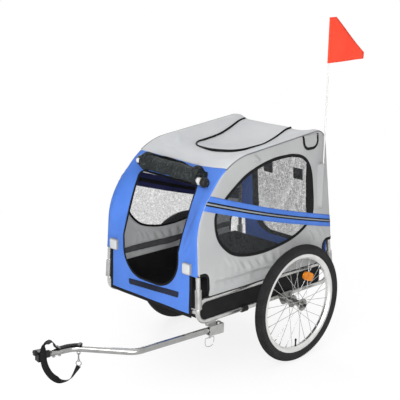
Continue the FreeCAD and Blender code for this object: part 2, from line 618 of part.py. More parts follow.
# Axle brackets: a tongue of plate on the outside of the lower rail with a sleeve for the axle
bolt_parts = []
axle_parts = []
for side, sign in SIDES:
    face_y = sign * (size("frame_half_width") + size("tube_radius"))
    corners = [(V(-size("plate_half_width"), face_y, size("plate_top")), size("plate_bend")),
               (V(-size("plate_nose"), face_y, size("plate_foot")), size("plate_bend")),
               (V(size("plate_nose"), face_y, size("plate_foot")), size("plate_bend")),
               (V(size("plate_half_width"), face_y, size("plate_top")), size("plate_bend"))]
    tongue = extrude(side + "_tongue", outline(side + "_tongue_face", corners), (0, sign, 0),
                     "plate_thickness")
    inner_y = f"{sign} * (frame_half_width + tube_radius)"
    sleeve_y = inner_y if sign > 0 else f"{inner_y} - sleeve_length"
    sleeve = cylinder(side + "_sleeve", "y", "sleeve_radius", "sleeve_length", "0", sleeve_y,
                      "wheel_radius")
    bore = cylinder(side + "_sleeve_bore", "y", "axle_radius + running_gap", "sleeve_length", "0", sleeve_y,
                    "wheel_radius")
    holes = []
    for place_sign, word in ((1, "front"), (-1, "rear")):
        bolt_x = f"{place_sign} * bolt_place"
        head_y = (f"{inner_y} + plate_thickness" if sign > 0
                  else f"{inner_y} - plate_thickness - bolt_head_height")
        shank_y = inner_y if sign > 0 else f"{inner_y} - plate_thickness"
        shank = cylinder(f"{side}_{word}_shank", "y", "bolt_radius", "plate_thickness", bolt_x,
                         shank_y, "rail_low")
        head = cylinder(f"{side}_{word}_head", "y", "bolt_head_radius", "bolt_head_height", bolt_x, head_y,
                        "rail_low")
        bolt_parts.append(fuse(f"{side}_{word}_bolt", shank, head))
        holes.append(cylinder(f"{side}_{word}_hole", "y", "bolt_radius", "plate_thickness", bolt_x, shank_y,
                              "rail_low"))
    node(side + "_axle_bracket", cut(side + "_axle_bracket", fuse(side + "_bracket_body", tongue, sleeve),
                                     bore, *holes))
    # the axle starts inside the sleeve and ends in a cap beyond the hub
    axle_length = "wheel_offset + hub_half_length + fit_gap - frame_half_width - tube_radius - axle_inset"
    start = "frame_half_width + tube_radius + axle_inset"
    end = f"({start} + {axle_length})"
    pin_y = start if sign > 0 else f"-{end}"
    cap_y = end if sign > 0 else f"-{end} - axle_cap_length"
    shaft = cylinder(side + "_shaft", "y", "axle_radius", axle_length, "0", pin_y, "wheel_radius")
    cap = cylinder(side + "_cap", "y", "axle_cap_radius", "axle_cap_length", "0", cap_y, "wheel_radius")
    well_depth = "button_length - button_proud + button_travel + fit_gap"
    well_y = (f"{end} + axle_cap_length - ({well_depth})" if sign > 0
              else f"-{end} - axle_cap_length")
    well = cylinder(side + "_well", "y", "button_radius + running_gap", well_depth, "0", well_y,
                    "wheel_radius")
    axle_parts.append(cut(side + "_axle", fuse(side + "_axle_body", shaft, cap), well))
    button_y = (f"{end} + axle_cap_length + button_proud - button_length" if sign > 0
                else f"-{end} - axle_cap_length - button_proud")
    button = cylinder(side + "_button", "y", "button_radius", "button_length", "0", button_y,
                      "wheel_radius")
    node(side + "_axle_button", group(side + "_axle_button", button))
node("bracket_bolts", group("bracket_bolts", *bolt_parts))
node("wheel_axles", group("wheel_axles", *axle_parts))

# Rail clips: plastic saddles snapped round the lower rails
clip_parts = []
for side, sign in SIDES:
    centre_y = f"{sign} * frame_half_width"
    outer = cylinder(side + "_clip_outer", "x", "tube_radius + clip_wall", "clip_length", "clip_x",
                     centre_y,
                     "rail_low")
    # the mouth is at the top on the inner side, so that the clip passes the infill and the floor
    mouth_y = f"{centre_y} - tube_radius - clip_wall" if sign > 0 else f"{centre_y} - infill_thickness"
    opening = box(side + "_clip_mouth", "clip_length", "tube_radius + clip_wall + infill_thickness",
                  "tube_radius + clip_wall", "clip_x", mouth_y, "rail_low + tube_radius / 2")
    clip_parts.append(cut(side + "_clip", outer, loops[side], opening))
node("rail_clips", group("rail_clips", *clip_parts))

# Wheels: tyre, rim, laced spokes, flanged hub and its bearings, spoke reflector and valve
SPOKES = 28
LACE_STEPS = 2
bearing_parts = []


def on_wheel(radius, angle, lateral):
    return V(radius * math.cos(angle), lateral, radius * math.sin(angle))


for side, sign in SIDES:
    frame = FreeCAD.Placement(V(0, sign * size("wheel_offset"), size("wheel_radius")), FreeCAD.Rotation())
    centre = size("wheel_radius") - size("tyre_section")
    edge = size("rim_edge_radius") + size("bead_gap")
    bead = size("rim_half_width") - size("rim_flange") - size("bead_gap")
    seat = size("rim_well_radius") + size("bead_gap")
    shoulder = math.sqrt(size("tyre_section") ** 2 - (centre - edge) ** 2)
    profile = Part.Wire([
        Part.Arc(V(edge, -shoulder, 0), V(size("wheel_radius"), 0, 0), V(edge, shoulder, 0)).toShape(),
        *[Part.LineSegment(start, end).toShape() for start, end in (
            (V(edge, shoulder, 0), V(edge, bead, 0)), (V(edge, bead, 0), V(seat, bead, 0)),
            (V(seat, bead, 0), V(seat, -bead, 0)), (V(seat, -bead, 0), V(edge, -bead, 0)),
            (V(edge, -bead, 0), V(edge, -shoulder, 0)))]])
    carcass = Part.Face(profile).revolve(V(), V(0, 1, 0), 360)
    valve_span = "rim_well_radius + rim_flange * 2 - rim_inner_radius + valve_length"
    valve_foot = "-rim_well_radius - rim_flange * 2"
    valve = cylinder(side + "_valve", "z", "valve_radius", valve_span, "0", "0", valve_foot)
    valve_hole = cylinder(side + "_valve_hole", "z", "valve_radius + running_gap", valve_span, "0", "0",
                          valve_foot)
    node(side + "_tyre", fuse(side + "_tyre", solid(side + "_carcass", carcass), valve), frame)

    half = size("rim_half_width")
    wall = size("rim_flange")
    slope = size("rim_well_radius") - size("rim_inner_radius")
    rim_corners = [(V(r, y, 0), 0) for r, y in (
        (size("rim_inner_radius"), half - slope), (size("rim_well_radius"), half),
        (size("rim_edge_radius"), half), (size("rim_edge_radius"), half - wall),
        (size("rim_well_radius"), half - wall), (size("rim_well_radius"), wall - half),
        (size("rim_edge_radius"), wall - half), (size("rim_edge_radius"), -half),
        (size("rim_well_radius"), -half), (size("rim_inner_radius"), slope - half))]
    node(side + "_rim", cut(side + "_rim", turned(side + "_rim_ring", rim_corners), valve_hole), frame)

    bore = size("bearing_radius") + size("running_gap")
    reach = size("hub_half_length")
    offset = size("hub_flange_offset")
    thick = size("hub_flange_thickness") / 2
    shell_radius = size("hub_barrel_radius")
    hub_half = [(bore, reach), (size("hub_end_radius"), reach), (size("hub_end_radius"), offset + thick),
                (size("hub_flange_radius"), offset + thick), (size("hub_flange_radius"), offset - thick),
                (shell_radius, offset - thick)]
    hub_corners = [(V(r, y, 0), 0) for r, y in hub_half]
    hub_corners += [(V(r, -y, 0), 0) for r, y in reversed(hub_half)]
    for end, start in (("outer", "hub_half_length - bearing_width"), ("inner", "-hub_half_length")):
        ring_y = f"{sign} * wheel_offset + {start}"
        ring = cylinder(f"{side}_{end}_ring", "y", "bearing_radius", "bearing_width", "0", ring_y,
                        "wheel_radius")
        race = cylinder(f"{side}_{end}_race", "y", "axle_radius", "bearing_width", "0", ring_y,
                        "wheel_radius")
        bearing_parts.append(cut(f"{side}_{end}_bearing", ring, race))

    laces = []
    eyelets = []
    lean_out = size("hub_flange_thickness") / 2 + size("spoke_radius") + size("running_gap")
    eyelet_radius = size("spoke_radius") + size("running_gap")
    for index in range(SPOKES):
        flange = 1 if index % 2 == 0 else -1
        turn_way = 1 if (index // 2) % 2 == 0 else -1
        rim_angle = 2 * math.pi * (index + 0.5) / SPOKES
        hub_angle = rim_angle + turn_way * LACE_STEPS * 4 * math.pi / SPOKES
        hub_y = flange * (size("hub_flange_offset") + turn_way * lean_out)
        start = on_wheel(size("spoke_circle"), hub_angle, hub_y)
        end = on_wheel(size("rim_inner_radius") - size("bead_gap"), rim_angle,
                       flange * size("spoke_radius"))
        laces.append(Part.makeCylinder(size("spoke_radius"), (end - start).Length, start, end - start))
        eyelets.append(Part.makeCylinder(eyelet_radius, (end - start).Length, start, end - start))
    eyelet = solid(side + "_eyelets", Part.makeCompound(eyelets))
    node(side + "_hub", cut(side + "_hub", turned(side + "_hub_body", hub_corners), eyelet), frame)
    node(side + "_spokes", solid(side + "_spokes", Part.makeCompound(laces)), frame)

    lens_corners = []
    lens_turn = FreeCAD.Rotation(V(0, 1, 0), -size("spoke_reflector_angle"))
    lens_bend = size("spoke_reflector_width") / 2 - size("fit_gap")
    # the lens straddles the outer spokes, which run through grooves in it
    lace_share = ((size("rim_inner_radius") - size("spoke_reflector_place"))
                  / (size("rim_inner_radius") - size("spoke_circle")))
    lace_y = size("spoke_radius") + lace_share * (size("hub_flange_offset") - size("spoke_radius"))
    lens_y = sign * (lace_y - size("spoke_reflector_depth") / 2)
    for dx, dz in ((-1, -1), (1, -1), (1, 1), (-1, 1)):
        corner = V(dx * size("spoke_reflector_length") / 2, lens_y,
                   size("spoke_reflector_place") + dz * size("spoke_reflector_width") / 2)
        lens_corners.append((lens_turn.multVec(corner), lens_bend))
    lens = extrude(side + "_lens", outline(side + "_lens_face", lens_corners), (0, sign, 0),
                   "spoke_reflector_depth")
    grooves = solid(side + "_grooves", Part.makeCompound(eyelets))
    node(side + "_spoke_reflector", cut(side + "_spoke_reflector", lens, grooves), frame)

node("hub_bearings", group("hub_bearings", *bearing_parts))

# Flag: a pocket on the left rear edge, a whip mast and a pennant
wall_outer = cover_inner + size("cloth")
pocket_y = (size("frame_half_width") + wall_outer / math.cos(lean)
            - (size("pocket_foot") - size("lean_height")) * math.tan(lean)
            + size("mast_radius") + size("pocket_wall") + size("mast_stand_off"))
mast_base = V(size("mast_x"), pocket_y, size("pocket_foot"))
pocket = doc.addObject("Part::Cylinder", "pocket")
bind(pocket, Radius="mast_radius + pocket_wall + fit_gap", Height="pocket_top - pocket_foot")
pocket.Placement = FreeCAD.Placement(mast_base, FreeCAD.Rotation())
pocket_bore = doc.addObject("Part::Cylinder", "pocket_bore")
bind(pocket_bore, Radius="mast_radius + running_gap", Height="pocket_top - mast_foot")
pocket_bore.Placement = FreeCAD.Placement(V(mast_base.x, pocket_y, size("mast_foot")), FreeCAD.Rotation())
node("flag_pocket", cut("flag_pocket", pocket, pocket_bore))
mast = doc.addObject("Part::Cylinder", "mast")
bind(mast, Radius="mast_radius", Height="mast_top - mast_foot")
mast.Placement = FreeCAD.Placement(V(mast_base.x, pocket_y, size("mast_foot")), FreeCAD.Rotation())
node("flag_mast", group("flag_mast_group", mast))
flag_low = size("mast_top") - size("flag_height")
flag_edge = size("mast_x") + size("flag_lead")
flag_corners = [(V(flag_edge, pocket_y - size("flag_thickness") / 2, z), 0)
                for z in (flag_low, size("mast_top"))]
flag_corners += [(V(flag_edge - size("flag_hem"), pocket_y - size("flag_thickness") / 2,
                    size("mast_top")), 0),
                 (V(flag_edge - size("flag_length"), pocket_y - size("flag_thickness") / 2,
                    flag_low + size("flag_hem") / 2), 0),
                 (V(flag_edge - size("flag_length"), pocket_y - size("flag_thickness") / 2, flag_low), 0)]
pennant = extrude("pennant", outline("pennant_face", flag_corners), (0, 1, 0), "flag_thickness")
node("flag", cut("flag", pennant, mast))

# Tow arm: pivots in a channel under the left rail, bends in behind the bicycle and turns ahead again
TOW = FreeCAD.Placement(V(size("pivot_x"), size("pivot_y"), size("arm_height")),
                        FreeCAD.Rotation(V(0, 0, 1), -size("arm_yaw")))
bend_point = V(size("arm_bend_place"), 0, 0)
arm_angle = math.radians(size("arm_bend_angle"))
tip_bend = bend_point + V(math.cos(arm_angle), -math.sin(arm_angle), 0) * size("arm_reach")
tip_turn = size("arm_bend_angle") - size("arm_tip_angle")
tip_angle = math.radians(tip_turn)
arm_end = tip_bend + V(math.cos(tip_angle), -math.sin(tip_angle), 0) * size("arm_tip")
REACH = TOW.multiply(FreeCAD.Placement(tip_bend, FreeCAD.Rotation(V(0, 0, 1), -size("arm_bend_angle"))))
HITCH = TOW.multiply(FreeCAD.Placement(arm_end, FreeCAD.Rotation(V(0, 0, 1), -tip_turn)))
arm_bar = tube("arm_bar", [(V(-size("arm_radius"), 0, 0), 0), (bend_point, size("arm_bend_radius")),
                           (tip_bend, size("arm_bend_radius")), (arm_end, 0)],
               "arm_radius")
# the arm's tail is rounded about the pivot, so that it turns inside the channel
tail_block = box("tail_block", "2 * arm_radius", "4 * arm_radius", "4 * arm_radius", "-2 * arm_radius",
                 "-2 * arm_radius", "-2 * arm_radius")
tail_round = cylinder("tail_round", "z", "arm_radius", "4 * arm_radius", "0", "0", "-2 * arm_radius")
tail_trim = cut("tail_trim", tail_block, tail_round)
pivot_hole = cylinder("pivot_hole", "z", "pivot_bolt_radius + running_gap", "4 * arm_radius",
                      "0", "0", "-2 * arm_radius")
pin_hole = cylinder("pin_hole", "z", "pin_radius + fit_gap", "arm_radius + pin_travel", "pin_place", "0",
                    "-2 * arm_radius + pin_tip_gap")
neck_slot = box("neck_slot", "2 * neck_root", "4 * arm_radius", "neck_thickness",
                "-neck_root", "-2 * arm_radius", "-neck_thickness / 2")
neck_slot_placed = group("neck_slot_placed", neck_slot)
neck_slot_placed.Placement = TOW.inverse().multiply(HITCH)
bolt_holes = []
neck_holes = []
hitch_bolt_parts = []
stem_length = "hitch_bolt_top + arm_radius + hitch_nut_height + hitch_bolt_tail"
for word, bolt_x in (("rear", "-neck_bolt_rear"), ("front", "-neck_bolt_front")):
    stem = cylinder(word + "_hitch_stem", "z", "hitch_bolt_radius", stem_length, bolt_x, "0",
                    "-arm_radius - hitch_nut_height - hitch_bolt_tail")
    nut = cylinder(word + "_hitch_nut", "z", "hitch_nut_radius", "hitch_nut_height", bolt_x, "0",
                   "-arm_radius - hitch_nut_height")
    hitch_bolt_parts.append(fuse(word + "_hitch_bolt", stem, nut))
    for holes, tag in ((bolt_holes, "arm"), (neck_holes, "neck")):
        holes.append(cylinder(f"{word}_{tag}_hole", "z", "hitch_bolt_radius",
                              "hitch_bolt_top + 2 * arm_radius",
                              bolt_x, "0", "-2 * arm_radius"))
arm_bolt_holes = group("arm_bolt_holes", *bolt_holes)
arm_bolt_holes.Placement = neck_slot_placed.Placement
node("tow_arm", cut("tow_arm", arm_bar, tail_trim, pivot_hole, pin_hole, neck_slot_placed,
                    arm_bolt_holes), TOW)

# Tow bracket: a channel open towards the middle, hung from the rail by a saddle
channel_room = "channel_inner_reach + arm_radius + channel_side_gap"
channel = box("channel_block", "channel_front + channel_rear", f"{channel_room} + channel_wall",
              "2 * channel_half_height", "-channel_rear", "-channel_inner_reach", "-channel_half_height")
hollow = box("channel_hollow", "channel_front + channel_rear", channel_room,
             "2 * (channel_half_height - channel_wall)", "-channel_rear", "-channel_inner_reach",
             "channel_wall - channel_half_height")
bolt_bore = cylinder("bolt_bore", "z", "pivot_bolt_radius", "4 * channel_half_height", "0", "0",
                     "-2 * channel_half_height")
pin_bore = cylinder("pin_bore", "z", "pin_radius + running_gap", "3 * channel_wall", "pin_place", "0",
                    "-channel_half_height - channel_wall")
channel_cut = cut("channel_cut", channel, hollow, bolt_bore, pin_bore)
channel_cut.Placement = TOW
saddle = box("saddle_block", "saddle_length", "2 * saddle_half_width",
             "rail_low - arm_height - channel_half_height", "pivot_x + saddle_start",
             "frame_half_width - saddle_half_width", "arm_height + channel_half_height")
saddle_cut = cut("saddle", saddle, loops["left"])
node("tow_bracket", fuse("tow_bracket", channel_cut, saddle_cut))
pivot_stem = cylinder("pivot_stem", "z", "pivot_bolt_radius", "2 * channel_half_height", "0", "0",
                      "-channel_half_height")
pivot_nut = cylinder("pivot_nut", "z", "pivot_head_radius", "pivot_head_height", "0", "0",
                     "-channel_half_height - pivot_head_height")
pivot_head = cylinder("pivot_head", "z", "pivot_head_radius", "pivot_head_height", "0", "0",
                      "channel_half_height")
node("tow_pivot_bolt", fuse("tow_pivot_bolt", pivot_stem, pivot_nut, pivot_head), TOW)

# Lock pin with its wire ring: pulled down at rest, it slides up into the arm
pin_length = "channel_half_height - arm_radius - pin_tip_gap + pin_travel + pin_foot"
pin_stem = cylinder("pin_stem", "z", "pin_radius", pin_length, "pin_place", "0",
                    "-channel_half_height - pin_travel - pin_foot")
pin_eye = cylinder("pin_eye", "x", "ring_wire + fit_gap", "4 * pin_radius",
                   "pin_place - 2 * pin_radius", "0",
                   "-channel_half_height - pin_travel - pin_foot / 2")
ring_top = -size("channel_half_height") - size("pin_travel") - size("pin_foot") / 2
ring_foot = ring_top - size("ring_drop")
ring_front = size("pin_place") + size("ring_half_width")
ring_rear = size("pin_place") - size("ring_half_width")
ring_corners = [(V(size("pin_place"), 0, ring_top), 0), (V(ring_front, 0, ring_top), size("ring_top_bend")),
                (V(ring_front, 0, ring_foot), size("ring_foot_bend")),
                (V(ring_rear, 0, ring_foot), size("ring_foot_bend")),
                (V(ring_rear, 0, ring_top), size("ring_top_bend"))]
pull_ring = tube("pull_ring", ring_corners, "ring_wire", closed=True)
node("lock_pin", group("lock_pin", cut("lock_pin_stem", pin_stem, pin_eye), pull_ring), TOW)

# Hitch: steel neck, rubber joint, and a clamp whose front jaw is drawn in by a knob
neck_bar = box("neck_bar", "neck_root + neck_reach", "2 * neck_half_width", "neck_thickness", "-neck_root",
               "-neck_half_width", "-neck_thickness / 2")
node("hitch_neck", cut("hitch_neck", neck_bar, *neck_holes), HITCH)
node("hitch_bolts", group("hitch_bolts", *hitch_bolt_parts), HITCH)
joint_start = "neck_reach - joint_overlap"
joint_barrel = cylinder("joint_barrel", "x", "joint_radius", "joint_length", joint_start, "0", "0")
joint_slot = box("joint_slot", "joint_overlap", "2 * neck_half_width", "neck_thickness", joint_start,
                 "-neck_half_width", "-neck_thickness / 2")
node("hitch_joint", cut("hitch_joint", joint_barrel, joint_slot), HITCH)
jaw_start = f"{joint_start} + joint_length"
bore_x = f"{jaw_start} + jaw_depth + jaw_gap / 2"
jaw_blocks = {}
for word, start in (("rear", jaw_start), ("front", f"{jaw_start} + jaw_depth + jaw_gap")):
    block = box(word + "_jaw_block", "jaw_depth", "2 * jaw_half_width", "2 * jaw_half_height", start,
                "-jaw_half_width", "-jaw_half_height")
    bore = cylinder(word + "_jaw_bore", "y", "jaw_bore", "4 * jaw_half_width", bore_x,
                    "-2 * jaw_half_width", "0")
    hole_start = f"{start} - jaw_depth / 2" if word == "front" else f"{start} + screw_radius"
    screw_hole = cylinder(word + "_jaw_screw_hole", "x", "screw_radius + running_gap", "2 * jaw_depth",
                          hole_start, "0", "screw_height")
    jaw_blocks[word] = cut(word + "_jaw", block, bore, screw_hole)
node("clamp_rear_jaw", jaw_blocks["rear"], HITCH)
node("clamp_front_jaw", jaw_blocks["front"], HITCH)
knob_start = f"{jaw_start} + 2 * jaw_depth + jaw_gap + fit_gap"
screw = cylinder("knob_screw", "x", "screw_radius", "2 * jaw_depth + jaw_gap - screw_radius",
                 f"{jaw_start} + screw_radius + fit_gap", "0", "screw_height")
knob_core = cylinder("knob_core", "x", "knob_radius - knob_lobe / 2", "knob_length", knob_start, "0",
                     "screw_height")
lobes = []
LOBES = 6
for index in range(LOBES):
    angle = 2 * math.pi * index / LOBES
    lobes.append(cylinder(f"knob_lobe_{index}", "x", "knob_lobe", "knob_length", knob_start,
                          f"(knob_radius - knob_lobe) * {math.cos(angle):.6f}",
                          f"screw_height + (knob_radius - knob_lobe) * {math.sin(angle):.6f}"))
node("clamp_knob", fuse("clamp_knob", screw, knob_core, *lobes), HITCH)

# Safety strap: webbing along the top of the arm that loops round the hitch to a snap hook
strap_top = size("arm_radius") + size("strap_lift") + size("strap_thickness") / 2
eye_x = -size("eye_place")
dee_low = (-size("arm_radius") - 4 * size("eye_radius") - size("shank_length") - 2 * size("dee_radius")
           - 2 * size("eye_wire"))
# places along, across and above the arm's end as shares of the loop's drop, and the way the width lies
LOOP_SHARES = [((-0.11, 0, 0.30), (0.1, 1, 0)), ((0.02, 0.03, 0.39), (0.35, 1, 0)),
               ((0.19, 0.10, 0.36), (0.8, 0.8, -0.3)), ((0.30, 0.16, 0.28), (1, 0.3, 0.2)),
               ((0.33, 0.19, 0.13), (1, 0, 0.05)), ((0.32, 0.19, -0.05), (1, 0, 0.15)),
               ((0.25, 0.17, -0.32), (0.9, 0.1, 0.4)), ((0.10, 0.14, -0.59), (0.7, 0.4, 0.6)),
               ((-0.09, 0.11, -0.81), (0.35, 0.9, 0.35)), ((-0.29, 0.08, -0.95), (0, 1, 0)),
               ((-0.51, 0.06, -1.00), (0.1, 1, 0)), ((-0.65, 0.06, -0.95), (0.4, 0.9, 0)),
               ((-0.74, 0.08, -0.80), (0.8, 0.6, 0.1))]
half_turn = math.radians(size("arm_tip_angle")) / 2
bend_run = size("arm_bend_radius") * math.tan(half_turn)
bend_depth = (size("arm_bend_radius") - size("arm_bend_radius") * math.cos(half_turn)) / math.cos(half_turn)
bend_way = V(math.sin(half_turn), math.cos(half_turn), 0)
to_hitch = HITCH.inverse().multiply(REACH)
reach_way = to_hitch.Rotation.multVec(V(0, 1, 0))
STRAP = [(to_hitch.multVec(V(-size(place), 0, strap_top)), reach_way)
         for place in ("strap_tail", "strap_turn")]
STRAP.append((V(-size("arm_tip"), 0, strap_top) + bend_way * bend_depth, bend_way))
STRAP += [(V(-place, 0, strap_top), (0, 1, 0))
          for place in (size("arm_tip") - bend_run, size("strap_lift_off"))]
STRAP += [(V(*shares) * size("loop_drop"), across) for shares, across in LOOP_SHARES]
STRAP.append((to_hitch.multVec(V(eye_x, 0, dee_low - 2 * size("eye_wire"))), (1, 0.1, 0)))


def ribbon(route, width, thickness):
    """A flat strap through stations, each with the direction in which its width lies."""
    centres = [V(*station) for station, across in route]
    rings = []
    for index, (station, across) in enumerate(route):
        before = centres[max(index - 1, 0)]
        after = centres[min(index + 1, len(centres) - 1)]
        run = (after - before).normalize()
        side_way = V(*across)
        side_way = (side_way - run * side_way.dot(run)).normalize()
        up_way = run.cross(side_way)
        rings.append([centres[index] + side_way * (a * width / 2) + up_way * (b * thickness / 2)
                      for a, b in ((-1, -1), (1, -1), (1, 1), (-1, 1))])
    faces = [Part.Face(Part.makePolygon(ring + ring[:1])) for ring in (rings[0], rings[-1])]
    for first, second in zip(rings, rings[1:]):
        for a in range(4):
            b = (a + 1) % 4
            for corners in ((first[a], first[b], second[b]), (first[a], second[b], second[a])):
                faces.append(Part.Face(Part.makePolygon([*corners, corners[0]])))
    skin = Part.Shell(faces)
    skin.sewShape()
    strap = Part.Solid(skin)
    if strap.Volume < 0:
        strap.reverse()
    return strap


webbing = solid("webbing", ribbon(STRAP, size("strap_width"), size("strap_thickness")))
node("safety_strap", group("safety_strap", webbing), HITCH)
buckle_parts = []
for word, x, frame in (("rear", "-buckle_rear", REACH), ("front", "-buckle_front", HITCH)):
    low = "arm_radius + fit_gap"
    buckle_rim = box(word + "_buckle_rim", "buckle_length", "strap_width + 2 * buckle_rim",
                     "2 * strap_lift + strap_thickness", x, "-strap_width / 2 - buckle_rim", low)
    slot = box(word + "_buckle_slot", "buckle_length", "strap_width + 2 * fit_gap",
               "strap_thickness + 2 * fit_gap",
               x, "-strap_width / 2 - fit_gap", "arm_radius + strap_lift - fit_gap")
    buckle_parts.append(cut(word + "_buckle", buckle_rim, slot))
    buckle_parts[-1].Placement = frame
node("strap_buckles", group("strap_buckles", *buckle_parts))

# Snap hook: an eye under the arm, the hook's ring through it, a shank and the strap's dee
eye_z = "-arm_radius - eye_radius + eye_wire / 2"
eye = torus("hook_eye_ring", "y", "eye_radius", "eye_wire", "-eye_place", "0", eye_z)
eye_cut = cut("hook_eye_cut", eye, cylinder("eye_trim", "x", "arm_radius", "4 * eye_radius",
                                            "-eye_place - 2 * eye_radius", "0", "0"))
hook_z = f"{eye_z} - 2 * eye_radius + 2 * eye_wire + fit_gap"
hook_ring = torus("hook_ring", "x", "eye_radius", "eye_wire", "-eye_place", "0", hook_z)
shank_z = f"{hook_z} - eye_radius - shank_length"
shank = cylinder("hook_shank", "z", "shank_radius", "shank_length", "-eye_place", "0", shank_z)
swivel = doc.addObject("Part::Sphere", "hook_swivel")
bind(swivel, Radius="swivel_radius")
place(swivel, "-eye_place", "0", shank_z)
dee = torus("strap_dee", "y", "dee_radius", "eye_wire", "-eye_place", "0",
            f"{shank_z} - dee_radius - eye_wire")
node("strap_hook", group("strap_hook", eye_cut, fuse("hook_body", hook_ring, shank, swivel, dee)), REACH)

doc.recompute()
for obj in doc.Objects:
    if {"Invalid", "Error"} & set(obj.State):
        raise RuntimeError(f"{obj.Label} failed: {obj.State}")
for obj in NODES:
    if obj.Shape.isNull() or not obj.Shape.isValid():
        raise RuntimeError(f"{obj.Label} has no valid shape")

os.makedirs("parts", exist_ok=True)
for obj in NODES:
    obj.Shape.exportStep(f"parts/{obj.Label}.step")
whole = Part.makeCompound([obj.Shape for obj in NODES]).BoundBox
print(f"{len(NODES)} nodes, box x {whole.XMin:.1f} {whole.XMax:.1f} y {whole.YMin:.1f} {whole.YMax:.1f} "
      f"z {whole.ZMin:.1f} {whole.ZMax:.1f}")
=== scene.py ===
import math

import bpy
import numpy as np
from mathutils import Matrix, Vector, geometry, noise


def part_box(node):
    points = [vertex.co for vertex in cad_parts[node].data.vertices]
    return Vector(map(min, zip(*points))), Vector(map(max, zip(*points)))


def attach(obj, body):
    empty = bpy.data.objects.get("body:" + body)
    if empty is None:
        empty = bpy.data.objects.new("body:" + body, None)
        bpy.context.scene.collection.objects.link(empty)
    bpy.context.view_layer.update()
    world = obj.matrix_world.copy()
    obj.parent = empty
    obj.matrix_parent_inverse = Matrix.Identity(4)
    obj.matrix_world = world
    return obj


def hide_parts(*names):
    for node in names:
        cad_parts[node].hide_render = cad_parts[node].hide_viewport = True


# Dog bike trailer, dressed: a silver tube frame with a blue and grey cloth cabin.
# Lengths are metres in the model's own frame: +X forward, +Y to the left, +Z up.
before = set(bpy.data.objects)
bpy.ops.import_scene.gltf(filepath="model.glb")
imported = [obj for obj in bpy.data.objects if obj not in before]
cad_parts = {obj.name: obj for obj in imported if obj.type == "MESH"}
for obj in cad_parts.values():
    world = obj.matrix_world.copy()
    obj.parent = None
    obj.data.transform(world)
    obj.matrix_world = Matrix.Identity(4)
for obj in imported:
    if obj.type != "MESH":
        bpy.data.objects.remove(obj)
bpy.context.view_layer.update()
scene = bpy.context.scene
scene.view_settings.view_transform = "Standard"
SIDES = (("left", 1), ("right", -1))


def srgb(code):
    """A colour written as a hex code, in the linear values that shaders take."""
    channels = [int(code[i:i + 2], 16) / 255 for i in (1, 3, 5)]
    return tuple(c / 12.92 if c <= 0.04045 else ((c + 0.055) / 1.055) ** 2.4 for c in channels) + (1.0,)


def new_material(name, colour, roughness, metallic=0.0, specular=0.5):
    """A material with its main shader, and the object's own coordinates for its patterns."""
    material = bpy.data.materials.new(name)
    material.use_nodes = True
    tree = material.node_tree
    shader = tree.nodes["Principled BSDF"]
    shader.inputs["Base Color"].default_value = srgb(colour)
    shader.inputs["Roughness"].default_value = roughness
    shader.inputs["Metallic"].default_value = metallic
    shader.inputs["Specular IOR Level"].default_value = specular
    place = tree.nodes.new("ShaderNodeTexCoord").outputs["Object"]
    return material, tree, shader, place


def add(tree, kind, settings=(), **sockets):
    """A shader node with its settings, and its sockets set to values or linked to outputs."""
    made = tree.nodes.new("ShaderNode" + kind)
    for key, value in dict(settings).items():
        setattr(made, key, value)
    for key, value in sockets.items():
        socket = made.inputs[int(key[1:])] if key[1:].isdigit() else made.inputs[key.replace("_", " ")]
        if isinstance(value, bpy.types.NodeSocket):
            tree.links.new(value, socket)
        else:
            socket.default_value = value
    return made


def remap(tree, value, start=0.0, end=1.0, to_start=0.0, to_end=1.0):
    """A value carried from one span to another."""
    return add(tree, "MapRange", Value=value, From_Min=start, From_Max=end, To_Min=to_start,
               To_Max=to_end).outputs["Result"]


def mottle(tree, shader, place, colour, dark, scale):
    """Uneven colour: the main colour drifting towards a darker one."""
    cloud = add(tree, "TexNoise", Vector=place, Scale=scale, Detail=4.0)
    share = remap(tree, cloud.outputs["Fac"], 0.35, 0.7)
    mix = add(tree, "Mix", {"data_type": "RGBA"}, _0=share, _6=srgb(colour), _7=srgb(dark))
    tree.links.new(mix.outputs[2], shader.inputs["Base Color"])


def bump(tree, shader, height, strength, distance):
    """Relief in the shading."""
    made = add(tree, "Bump", Height=height, Strength=strength, Distance=distance)
    tree.links.new(made.outputs["Normal"], shader.inputs["Normal"])


def work(tree, operation, first, second):
    """One sum on two values."""
    return add(tree, "Math", {"operation": operation}, _0=first, _1=second).outputs[0]


def threads(tree, place, axes, pitch, operation):
    """Waves across several axes, taken together as the height of crossed threads."""
    total = None
    for axis in axes:
        wave = add(tree, "TexWave", {"bands_direction": axis}, Vector=place, Scale=math.pi / (10 * pitch))
        height = wave.outputs["Fac"]
        total = height if total is None else work(tree, operation, total, height)
    return total


def cloth(name, colour, dark, thread=0.0016, roughness=0.78, relief=0.35, through=0.0, sheen=0.0):
    """Plain woven cloth: crossed threads in relief, slightly uneven dye, and some light let through."""
    material, tree, shader, place = new_material(name, colour, roughness, specular=0.12)
    mottle(tree, shader, place, colour, dark, 7.0)
    bump(tree, shader, threads(tree, place, "XYZ", thread, "ADD"), relief, thread / 3)
    shader.inputs["Sheen Weight"].default_value = sheen
    shader.inputs["Sheen Roughness"].default_value = 0.45
    if through:
        glow = add(tree, "BsdfTranslucent", Color=srgb(colour))
        both = add(tree, "MixShader", _0=through, _1=shader.outputs[0], _2=glow.outputs[0])
        tree.links.new(both.outputs[0], tree.nodes["Material Output"].inputs["Surface"])
    return material


